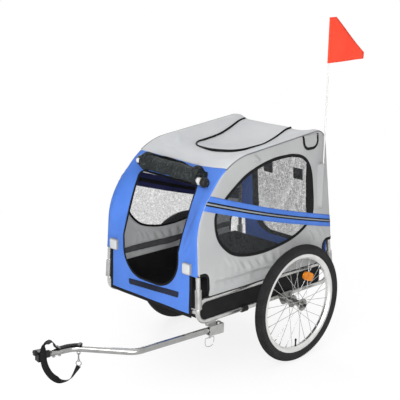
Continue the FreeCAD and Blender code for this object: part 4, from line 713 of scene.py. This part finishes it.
flap_corners = [((-0.098, roof_run(0.212)), 0.110), ((0.152, roof_run(0.260)), 0.085),
                ((FLAP_HALF, roof_run(FLAP_REAR)), 0), ((-FLAP_HALF, roof_run(FLAP_REAR)), 0)]
flap_lift = raised(band_lift, FLAP_RISE)
sew("flap_cloth", rounded(flap_corners), flap_lift, roof_grey, "roof_cloth", ["roof_cloth"], "laid",
    stands_for="roof_flap", body="roof_flap")
flap_edge = rounded([flap_corners[3], *flap_corners[:2], flap_corners[2]], closed=False)
flap_roll = np.interp(np.linspace(0, 1, len(flap_edge)), (0, 0.30, 0.42, 0.55, 0.66, 0.80, 1),
                      (0.0048, 0.0054, 0.0030, 0.0060, 0.0050, 0.0028, 0.0042))
cord_mesh("flap_binding", flap_lift(flap_edge, flap_roll - 0.0030), flap_roll, binding, "roof_flap", "black_webbing")


def turned(base, axis, steps, sides=20):
    """A turned shape: radii at distances along an axis."""
    axis = Vector(axis).normalized()
    first = axis.orthogonal().normalized()
    second = axis.cross(first)
    points = []
    for distance, radius in steps:
        for k in range(sides):
            angle = 2 * math.pi * k / sides
            way = first * math.cos(angle) + second * math.sin(angle)
            points.append(Vector(base) + axis * distance + way * radius)
    faces = quads(len(steps), sides, round_columns=True)
    faces += [tuple(reversed(range(sides))), tuple(range((len(steps) - 1) * sides, len(steps) * sides))]
    return points, faces


def joined(parts):
    """Several small meshes as one."""
    points, faces = [], []
    for some_points, some_faces in parts:
        faces += [tuple(i + len(points) for i in face) for face in some_faces]
        points += list(some_points)
    return points, faces


# Door screen: its net rolled up under the roof's front edge in loose turns, tied by two elastic
# loops that end in toggles
ROLL_LEFT = Vector((AXLE_X + 0.4279, 0.187, 0.829))
ROLL_RIGHT = Vector((AXLE_X + 0.4243, -0.144, 0.833))
ROLL_RADIUS, ROLL_TURNS = 0.0390, 2.75
ROLL_CORE, ROLL_GROWTH, ROLL_LUMP, ROLL_SKEW, ROLL_CLOTH = 0.009, ROLL_RADIUS - 0.011, 0.0040, 0.004, 0.0012
roll_run = (ROLL_LEFT - ROLL_RIGHT).normalized()
roll_first = roll_run.orthogonal().normalized()
roll_second = roll_run.cross(roll_first)
roll_points = []
ROLL_ROWS, ROLL_STEPS = 56, 110
for row in range(ROLL_ROWS + 1):
    share = row / ROLL_ROWS
    for step in range(ROLL_STEPS + 1):
        turn = step / ROLL_STEPS
        angle = 2 * math.pi * ROLL_TURNS * turn + 0.5 * math.sin(share * 5)
        lump = noise.noise(Vector((share * 9, math.cos(angle) * 0.9, math.sin(angle) * 0.9 + turn * 2)))
        radius = ROLL_CORE + ROLL_GROWTH * turn + ROLL_LUMP * lump * turn
        skew = ROLL_SKEW * math.sin(turn * 9)
        centre = ROLL_RIGHT.lerp(ROLL_LEFT, share) + roll_run * skew * (1 if row in (0, ROLL_ROWS) else 0)
        roll_points.append(centre + (roll_first * math.cos(angle) + roll_second * math.sin(angle)) * radius)
rolled = cloth("rolled_net", "#2f3233", "#232526", thread=0.0026, roughness=0.75, relief=0.9)
roll_tree = rolled.node_tree
roll_place = add(roll_tree, "TexCoord").outputs["Object"]
# Pale dots, in patches, over the rolled net's charcoal colour
roll_spots = add(roll_tree, "TexVoronoi", Vector=roll_place, Scale=380.0)
roll_patches = add(roll_tree, "TexNoise", Vector=roll_place, Scale=26.0, Detail=3.0)
roll_pale_share = remap(roll_tree, roll_patches.outputs["Fac"], 0.40, 0.62, 0.22)
roll_dots = work(roll_tree, "LESS_THAN", roll_spots.outputs["Distance"], 0.30)
roll_share = work(roll_tree, "MULTIPLY", roll_dots, roll_pale_share)
roll_colour = add(roll_tree, "Mix", {"data_type": "RGBA"}, _0=roll_share, _6=srgb("#232627"), _7=srgb("#7c8587"))
roll_tree.links.new(roll_colour.outputs[2], roll_tree.nodes["Principled BSDF"].inputs["Base Color"])
roll = piece("rolled_screen", roll_points, quads(ROLL_ROWS + 1, ROLL_STEPS + 1), rolled, "trailer", "fly_net",
             "screen_roll")
thicken(roll, ROLL_CLOTH)
# Pale plastic for the near toggle's barrel, and for the painted highlight on the far toggle's black ball
pale_plastic_and_highlight = plastic("pale_plastic_and_highlight", "#c9c9c7", "#bcbcba", 0.4)
barrel_steps = [(0.000, 0.0100), (0.001, 0.0138), (0.004, 0.0148), (0.013, 0.0148), (0.014, 0.0130), (0.016, 0.0130),
                (0.017, 0.0148), (0.027, 0.0145), (0.028, 0.0100)]
stopper_steps = [(0.0, 0.0120), (0.0015, 0.0180), (0.0050, 0.0195), (0.0180, 0.0195), (0.0220, 0.0175),
                 (0.0240, 0.0120), (0.0240, 0.0080), (0.0215, 0.0070)]
ball_steps = [(-0.0215 * math.cos(k * math.pi / 10), 0.0225 * math.sin(k * math.pi / 10)) for k in range(1, 10)]
# A pale disc turned to the front of the far toggle's black ball: a painted highlight on the ball
highlight_disc_steps = [(0.0150, 0.0080), (0.0215, 0.0100), (0.0240, 0.0098), (0.0252, 0.0075), (0.0254, 0.0040),
              (0.0240, 0.0030)]
TOGGLE_LEFT = ROLL_LEFT + Vector((0.009, -0.008, -0.018))
TOGGLE_RIGHT = ROLL_RIGHT + Vector((0.002, -0.012, -0.002))
barrel_and_highlight_parts = [turned(TOGGLE_LEFT, roll_run, barrel_steps), turned(TOGGLE_RIGHT, (0.72, 0.10, 0.12), highlight_disc_steps)]
piece("toggle_barrel_and_highlight", *joined(barrel_and_highlight_parts), pale_plastic_and_highlight, "trailer", "white_plastic", "roll_toggles")
stoppers = [turned(TOGGLE_LEFT + roll_run * 0.0275, roll_run, stopper_steps),
            turned(TOGGLE_RIGHT, -roll_run, ball_steps)]
piece("toggle_stoppers", *joined(stoppers), black_plastic, "trailer", "black_plastic")
TIE_LOW, TIE_HIGH = ROLL_RADIUS - 0.002, ROLL_RADIUS - 0.0004
tie_steps = [(0.0, TIE_LOW), (0.0006, TIE_HIGH), (0.0026, TIE_HIGH), (0.0032, TIE_LOW)]
ties = [turned(end - way * place, way, tie_steps, 36)
        for end, way in ((ROLL_RIGHT, -roll_run), (ROLL_LEFT, roll_run)) for place in (0.020, 0.024)]
piece("roll_ties", *joined(ties), rolled, "trailer", "black_webbing")

# Nose trim: a wavy strip of hook tape under the doorway, which holds the foot of the lowered
# screen, and two square prism reflectors in grey trays
hook_tape = cloth("hook_tape", "#2b3042", "#1b1f2c", thread=0.0018, roughness=0.9, relief=1.0)
HOOK_WAVE, HOOK_THICK = 0.0005, 0.0020
hook_corners = (-0.122, 0.330), (0.167, 0.348), (0.170, 0.372), (-0.127, 0.353)
hook_outline = rounded([((y, front_run(z)), 0.004) for y, z in hook_corners], step=0.005)
hook_outline[:, 1] += HOOK_WAVE * np.sin(hook_outline[:, 0] * 310) * (hook_outline[:, 1] < front_run(0.352))
sew("hook_strip", hook_outline, raised(band_lift, HOOK_THICK), hook_tape, "black_webbing", ["front_cloth"],
    spacing=FINE, thick=HOOK_THICK)
dress(plastic("reflector_tray", "#8f9193", "#7f8183"), "front_reflectors")
lens_material, _, lens_shader, _ = prism("clear_prism", "#b8babb", 0.22, 260.0, 0.8, 0.0012)
lens_shader.inputs["Coat Weight"].default_value = 0.5
TRAY_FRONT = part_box("front_reflectors")[1].x
LENS_HALF, LENS_Y, LENS_Z = 0.0195, 0.216, 0.480
ring = rectangle((-LENS_HALF, -LENS_HALF), (LENS_HALF, LENS_HALF), 0.005, step=0.003)
lens_faces = quads(4, len(ring), round_columns=True) + [tuple(range(3 * len(ring), 4 * len(ring)))]
lens_parts = []
for side, sign in SIDES:
    lens_parts.append(([(TRAY_FRONT + height, sign * LENS_Y + y * share, LENS_Z + z * share)
                        for height, share in ((-0.001, 1.0), (0.0018, 1.0), (0.0030, 0.93), (0.0036, 0.5))
                        for y, z in ring], lens_faces))
piece("reflector_lenses", *joined(lens_parts), lens_material, "trailer", "clear_lens", smooth=False)

# Wheels: black tyres with seven rows of small tread blocks, a black valve, a nipple at the rim
# end of each spoke, and an amber reflector between the spokes
rubber_material, rubber_tree, rubber_shader, rubber_place = new_material("tyre_rubber", "#1e1e1f", 0.85, specular=0.3)
mottle(rubber_tree, rubber_shader, rubber_place, "#1e1e1f", "#151516", 24.0)
rubber_grain = add(rubber_tree, "TexNoise", Vector=rubber_place, Scale=600.0, Detail=3.0)
bump(rubber_tree, rubber_shader, rubber_grain.outputs["Fac"], 0.3, 0.0004)
WHEEL_RADIUS, SECTION = 0.250, 0.022
WHEEL_OUT = (wheel_low.y + wheel_high.y) / 2
SPOKES, LACE_STEPS, TREAD = 28, 2, 156
HUB_REACH, FLANGE_OUT, FLANGE_HALF, RIM_REACH, RIM_OFF = 0.021, 0.027, 0.00265, 0.1907, 0.0011
BEAD, TREAD_EDGE, TREAD_FLOOR, SIDEWALL, RIDGE = 2.42, 1.20, 0.0196, 0.0212, 0.0004
BLOCK_LONG, BLOCK_SLANT = 0.33, 0.4


def on_tyre(turn, across, radius):
    """A point of the tyre from the angle round the wheel, and the angle and radius of its section."""
    reach = WHEEL_RADIUS - SECTION + radius * math.cos(across)
    return Vector((reach * math.cos(turn), radius * math.sin(across), reach * math.sin(turn)))


RINGS, AROUND = 37, 144
carcass = []
for ring in range(RINGS):
    across = -BEAD + 2 * BEAD * ring / (RINGS - 1)
    bare = TREAD_FLOOR if abs(across) < TREAD_EDGE else SIDEWALL
    ridge = RIDGE * sum(math.exp(-((abs(across) - place) / 0.05) ** 2) for place in (1.35, 1.80))
    for k in range(AROUND):
        carcass.append(on_tyre(2 * math.pi * k / AROUND, across, bare + ridge))
tread = [(carcass, quads(RINGS, AROUND, True, True))]
pitch = 2 * math.pi / TREAD
for k in range(TREAD):
    for centre, half, skew in ((0.0, 0.12, 0.0), (0.30, 0.12, 0.25), (-0.30, 0.12, -0.25), (0.60, 0.12, 0.4),
                               (-0.60, 0.12, -0.4), (0.93, 0.15, 0.5), (-0.93, 0.15, -0.5)):
        middle = pitch * (k + (0.5 if abs(centre) in (0.30, 0.93) else 0.0))
        block = []
        for radius, share in ((0.0194, 1.0), (0.0220, 0.84)):
            for a, t in ((-1, -1), (1, -1), (1, 1), (-1, 1)):
                across = centre + a * half * share
                turn = middle + t * pitch * BLOCK_LONG * share + skew * pitch * a * BLOCK_SLANT
                block.append(on_tyre(turn, across, radius))
        tread.append((block, [(0, 1, 5, 4), (1, 2, 6, 5), (2, 3, 7, 6), (3, 0, 4, 7), (4, 5, 6, 7)]))
valve = turned((0, 0, -0.1935), (0, 0, 1), [(0, 0.0042), (0.004, 0.0040), (0.008, 0.0034), (0.022, 0.0032),
                                            (0.0225, 0.0042), (0.0320, 0.0042), (0.0340, 0.0030)], 14)
nipples = []
for index in range(SPOKES):
    flange = 1 if index % 2 == 0 else -1
    turn_way = 1 if (index // 2) % 2 == 0 else -1
    rim_angle = 2 * math.pi * (index + 0.5) / SPOKES
    hub_angle = rim_angle + turn_way * LACE_STEPS * 4 * math.pi / SPOKES
    hub_end = Vector((HUB_REACH * math.cos(hub_angle), flange * (FLANGE_OUT + turn_way * FLANGE_HALF),
                      HUB_REACH * math.sin(hub_angle)))
    rim_end = Vector((RIM_REACH * math.cos(rim_angle), flange * RIM_OFF, RIM_REACH * math.sin(rim_angle)))
    nipples.append(turned(rim_end, hub_end - rim_end, [(-0.001, 0.0028), (0.0015, 0.0027), (0.002, 0.0020),
                                                       (0.011, 0.0019), (0.0125, 0.0012)], 8))
amber_material, *amber = prism("amber_prism", "#e08a14", 0.42, 300.0, 0.7, 0.0010, specular=0.25)
mottle(*amber, "#d07e14", "#ae620a", 90.0)
wheel_pieces = (("_tread_tyre", joined(tread), rubber_material, "tyre_rubber", "_tyre"),
                ("_valve", valve, rubber_material, "tyre_rubber", None),
                ("_nipples", joined(nipples), bright, "steel", None))
for side, sign in SIDES:
    hub_at = Vector((AXLE_X, sign * WHEEL_OUT, WHEEL_RADIUS))
    for name, (points, faces), material, slot, node in wheel_pieces:
        piece(side + name, [p + hub_at for p in points], faces, material, side + "_wheel", slot, node and side + node)
    dress(amber_material, side + "_spoke_reflector")

# Tow gear: a chromed arm in a steel channel, a rubber hitch joint, and the webbing safety strap,
# which leaves its buckles along the arm and twists in one loop round the hitch
dress(rubber_material, "hitch_joint")
dress(metal("chromed_arm", "#a6a6a5", "#989897", 0.20), "tow_arm")
dress(metal("hook_steel", "#8c8c8a", "#787876", 0.30), "strap_hook")
HITCH_AT = Vector((AXLE_X + 1.05373, 0.04818, 0.225))
HITCH_X, HITCH_Y = Vector((0.98163, -0.19081, 0)), Vector((0.19081, 0.98163, 0))
LOOP = 0.126
STRAP_WIDTH, STRAP_THICK = 0.025, 0.0016
loop_shares = [((-0.11, 0, 0.30), (0.1, 1, 0)), ((0.02, 0.03, 0.39), (0.35, 1, 0)),
               ((0.19, 0.10, 0.36), (0.8, 0.8, -0.3)), ((0.30, 0.16, 0.28), (1, 0.3, 0.2)),
               ((0.33, 0.19, 0.13), (1, 0, 0.05)), ((0.32, 0.19, -0.05), (1, -0.1, -0.1)),
               ((0.25, 0.17, -0.32), (0.85, -0.25, -0.45)), ((0.10, 0.14, -0.59), (0.6, -0.31, -0.74)),
               ((-0.09, 0.11, -0.79), (0.55, 0.15, -0.65)), ((-0.29, 0.08, -0.91), (0.68, 0.64, 0.0)),
               ((-0.51, 0.06, -0.95), (0.68, 0.68, 0.22)), ((-0.65, 0.06, -0.90), (0.72, 0.64, 0.20)),
               ((-0.74, 0.08, -0.77), (0.85, 0.5, 0.1))]
stations = [((-0.1213, 0.0208, 0.0154), (0.649, 0.760, 0)), ((-0.1092, 0.0104, 0.0154), (0.649, 0.760, 0)),
            ((-0.0954, 0.0043, 0.0154), (0.346, 0.938, 0)), ((-0.0712, 0, 0.0154), (0, 1, 0)),
            ((-0.024, 0, 0.0154), (0, 1, 0))]
stations += [(tuple(share * LOOP for share in shares), across) for shares, across in loop_shares]
stations.append(((-0.1107, 0.0117, -0.0706), (1, 0.1, 0)))
turn_hitch = np.array([tuple(HITCH_X), tuple(HITCH_Y), (0, 0, 1)])
strap_line = smooth_line([place for place, across in stations], 8) @ turn_hitch + np.array(tuple(HITCH_AT))
strap_across = smooth_line([across for place, across in stations], 8) @ turn_hitch
strap_run = unit(np.gradient(strap_line, axis=0))
strap_across = unit(strap_across - strap_run * (strap_across * strap_run).sum(axis=1)[:, None])
strap_up = np.cross(strap_run, strap_across)
STRAP_SECTION = [(-1, 0), (-0.96, -1), (0, -1), (0.96, -1), (1, 0), (0.96, 1), (0, 1), (-0.96, 1)]
strap_points = np.concatenate([strap_line + strap_across * (a * STRAP_WIDTH / 2) + strap_up * (b * STRAP_THICK / 2)
                               for a, b in STRAP_SECTION])
strap_size = len(STRAP_SECTION), len(strap_line)
strap_cloth = cloth("strap_webbing", "#1b1b1c", "#101011", thread=0.0020, roughness=0.6, relief=0.8)
strap = piece("safety_webbing", strap_points, quads(*strap_size, True) + end_caps(*strap_size), strap_cloth, "tow_arm",
              "black_webbing", "safety_strap")

# Flag: an orange pennant with a sewn sleeve on a white whip mast, which stands in a narrow
# pocket at the rear of the left cover
flag_orange = cloth("flag_cloth", "#f34b34", "#ea452f", thread=0.0012, roughness=0.6)
dress(plastic("white_mast", "#cfcecb", "#c2c1be", 0.35), "flag_mast")
mast_low, mast_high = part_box("flag_mast")
MAST = Vector(((mast_low.x + mast_high.x) / 2, (mast_low.y + mast_high.y) / 2, 0))
flag_low, flag_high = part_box("flag")
FLAG_TOP, FLAG_TAIL, FLAG_WAVE = 0.044, 0.028, 0.005
flag_outline = rounded([((flag_high.x, flag_low.z), 0), ((flag_high.x, flag_high.z), 0),
                        ((flag_high.x - FLAG_TOP, flag_high.z), 0), ((flag_low.x, flag_low.z + FLAG_TAIL), 0.004),
                        ((flag_low.x, flag_low.z), 0.004)])


def flag_lift(spots, raise_by):
    """The pennant hangs in a slow wave that grows towards its tail."""
    out = (flag_high.x - spots[:, 0]) / (flag_high.x - flag_low.x)
    wave = FLAG_WAVE * out * np.sin(out * 6 + (spots[:, 1] - flag_low.z) * 6) + raise_by
    return np.column_stack([spots[:, 0], MAST.y + wave, spots[:, 1]])


sew("pennant", flag_outline, flag_lift, flag_orange, "flag_cloth", ["flag_mast"], "hung", stands_for="flag",
    body="flag_mast", thick=0.0007)
sleeve = turned((MAST.x, MAST.y, flag_low.z), (0, 0, 1), [(0, 0.0034), (0.001, 0.0042), (0.187, 0.0042),
                                                          (0.188, 0.0034)])
piece("flag_sleeve", *sleeve, flag_orange, "flag_mast", "flag_cloth")
pocket_low, pocket_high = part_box("flag_pocket")
POCKET_ROWS, POCKET_FLAT, POCKET_OUT, POCKET_CLOTH, POCKET_GAP = 14, (0.046, 0.192), 0.0050, 0.0010, 0.0004
pocket_points = []
section = [(-0.017, 0.0), (-0.010, 0.05), (-0.0065, 0.5), (-0.0035, 0.92), (0, 1.0), (0.0035, 0.92), (0.0065, 0.5),
           (0.010, 0.05), (0.017, 0.0)]
for height in np.linspace(pocket_low.z, pocket_high.z, POCKET_ROWS):
    for dx, share in section:
        skin = side_lift(1, CLOTH / 2 + POCKET_GAP)(np.array([[MAST.x - AXLE_X + dx, height]]), 0.0)[0]
        pocket_points.append((MAST.x + dx, skin[1] + share * (MAST.y + POCKET_OUT - skin[1]), height))
pocket = piece("mast_pocket", pocket_points, quads(POCKET_ROWS, len(section)), side_grey, "trailer", "side_cloth",
               "flag_pocket")
thicken(pocket, POCKET_CLOTH, 1)

# Camera: the place and turn fitted to the photo, with a long lens
EYE = Vector((3.41748 + AXLE_X, 3.18516, 1.86258))
RIGHT = Vector((-0.71204324, 0.70179615, 0.02183099))
UP = Vector((-0.1658486, -0.19831998, 0.96600384))
BACK = Vector((0.6822673, 0.68421586, 0.25760431))
lens = bpy.data.cameras.new("camera")
lens.lens = 101.53
lens.sensor_width = 36
camera = put("camera", lens)
camera.matrix_world = Matrix((RIGHT, UP, BACK)).transposed().to_4x4()
camera.location = EYE
scene.camera = camera

# A pale floor that fades into the white background, and soft studio light: wide lamps at the
# front left and behind, and a sky that grows brighter overhead
world = bpy.data.worlds.new("studio")
world.use_nodes = True
scene.world = world
sky = world.node_tree
seen = add(sky, "LightPath")
looked_at = work(sky, "MAXIMUM", seen.outputs["Is Camera Ray"], seen.outputs["Is Transmission Ray"])
looked_at = work(sky, "MAXIMUM", looked_at, seen.outputs["Is Glossy Ray"])
sky_way = add(sky, "SeparateXYZ", Vector=add(sky, "TexCoord").outputs["Generated"])
sky_level = remap(sky, sky_way.outputs["Z"], 0.05, 0.55, 0.32, 0.76)
strength = remap(sky, looked_at, to_start=sky_level)
sky.nodes["Background"].inputs["Color"].default_value = (1.0, 1.0, 1.0, 1.0)
sky.links.new(strength, sky.nodes["Background"].inputs["Strength"])

floor_material, floor_tree, floor_shader, floor_place = new_material("studio_floor", "#f4f4f4", 0.9, specular=0.0)
floor_seen = add(floor_tree, "LightPath")
floor_looked = work(floor_tree, "MAXIMUM", floor_seen.outputs["Is Camera Ray"], floor_seen.outputs["Is Glossy Ray"])
floor_reach = add(floor_tree, "VectorMath", {"operation": "LENGTH"}, _0=floor_place)
floor_fade = remap(floor_tree, floor_reach.outputs["Value"], 0.9, 2.4, 0.80)
floor_share = work(floor_tree, "MULTIPLY", floor_looked, floor_fade)
glow = add(floor_tree, "Emission", Color=(1.0, 1.0, 1.0, 1.0), Strength=1.0)
floor_mix = add(floor_tree, "MixShader", _0=floor_share, _1=floor_shader.outputs[0], _2=glow.outputs[0])
floor_tree.links.new(floor_mix.outputs[0], floor_tree.nodes["Material Output"].inputs["Surface"])
FLOOR_HALF = 30
floor_mesh = bpy.data.meshes.new("studio_floor")
floor_mesh.from_pydata([(x * FLOOR_HALF, y * FLOOR_HALF, 0) for x, y in ((-1, -1), (1, -1), (1, 1), (-1, 1))], [],
                       [(0, 1, 2, 3)])
floor_mesh.materials.append(floor_material)
put("studio_floor", floor_mesh)

LIT = Vector((AXLE_X, 0.0, 0.5))
for name, at, width, energy in (("key", (2.8, 1.9, 2.2), 2.4, 74), ("fill", (2.1, 2.9, 1.3), 2.6, 76),
                                ("back", (-2.0, -3.4, 2.4), 2.6, 78), ("over", (0.0, 0.0, 4.2), 3.0, 10)):
    lamp = bpy.data.lights.new(name, "AREA")
    lamp.shape = "DISK"
    lamp.size = width
    lamp.energy = energy
    holder = put(name, lamp)
    holder.location = at
    holder.rotation_euler = (LIT - Vector(at)).to_track_quat("-Z", "Y").to_euler()
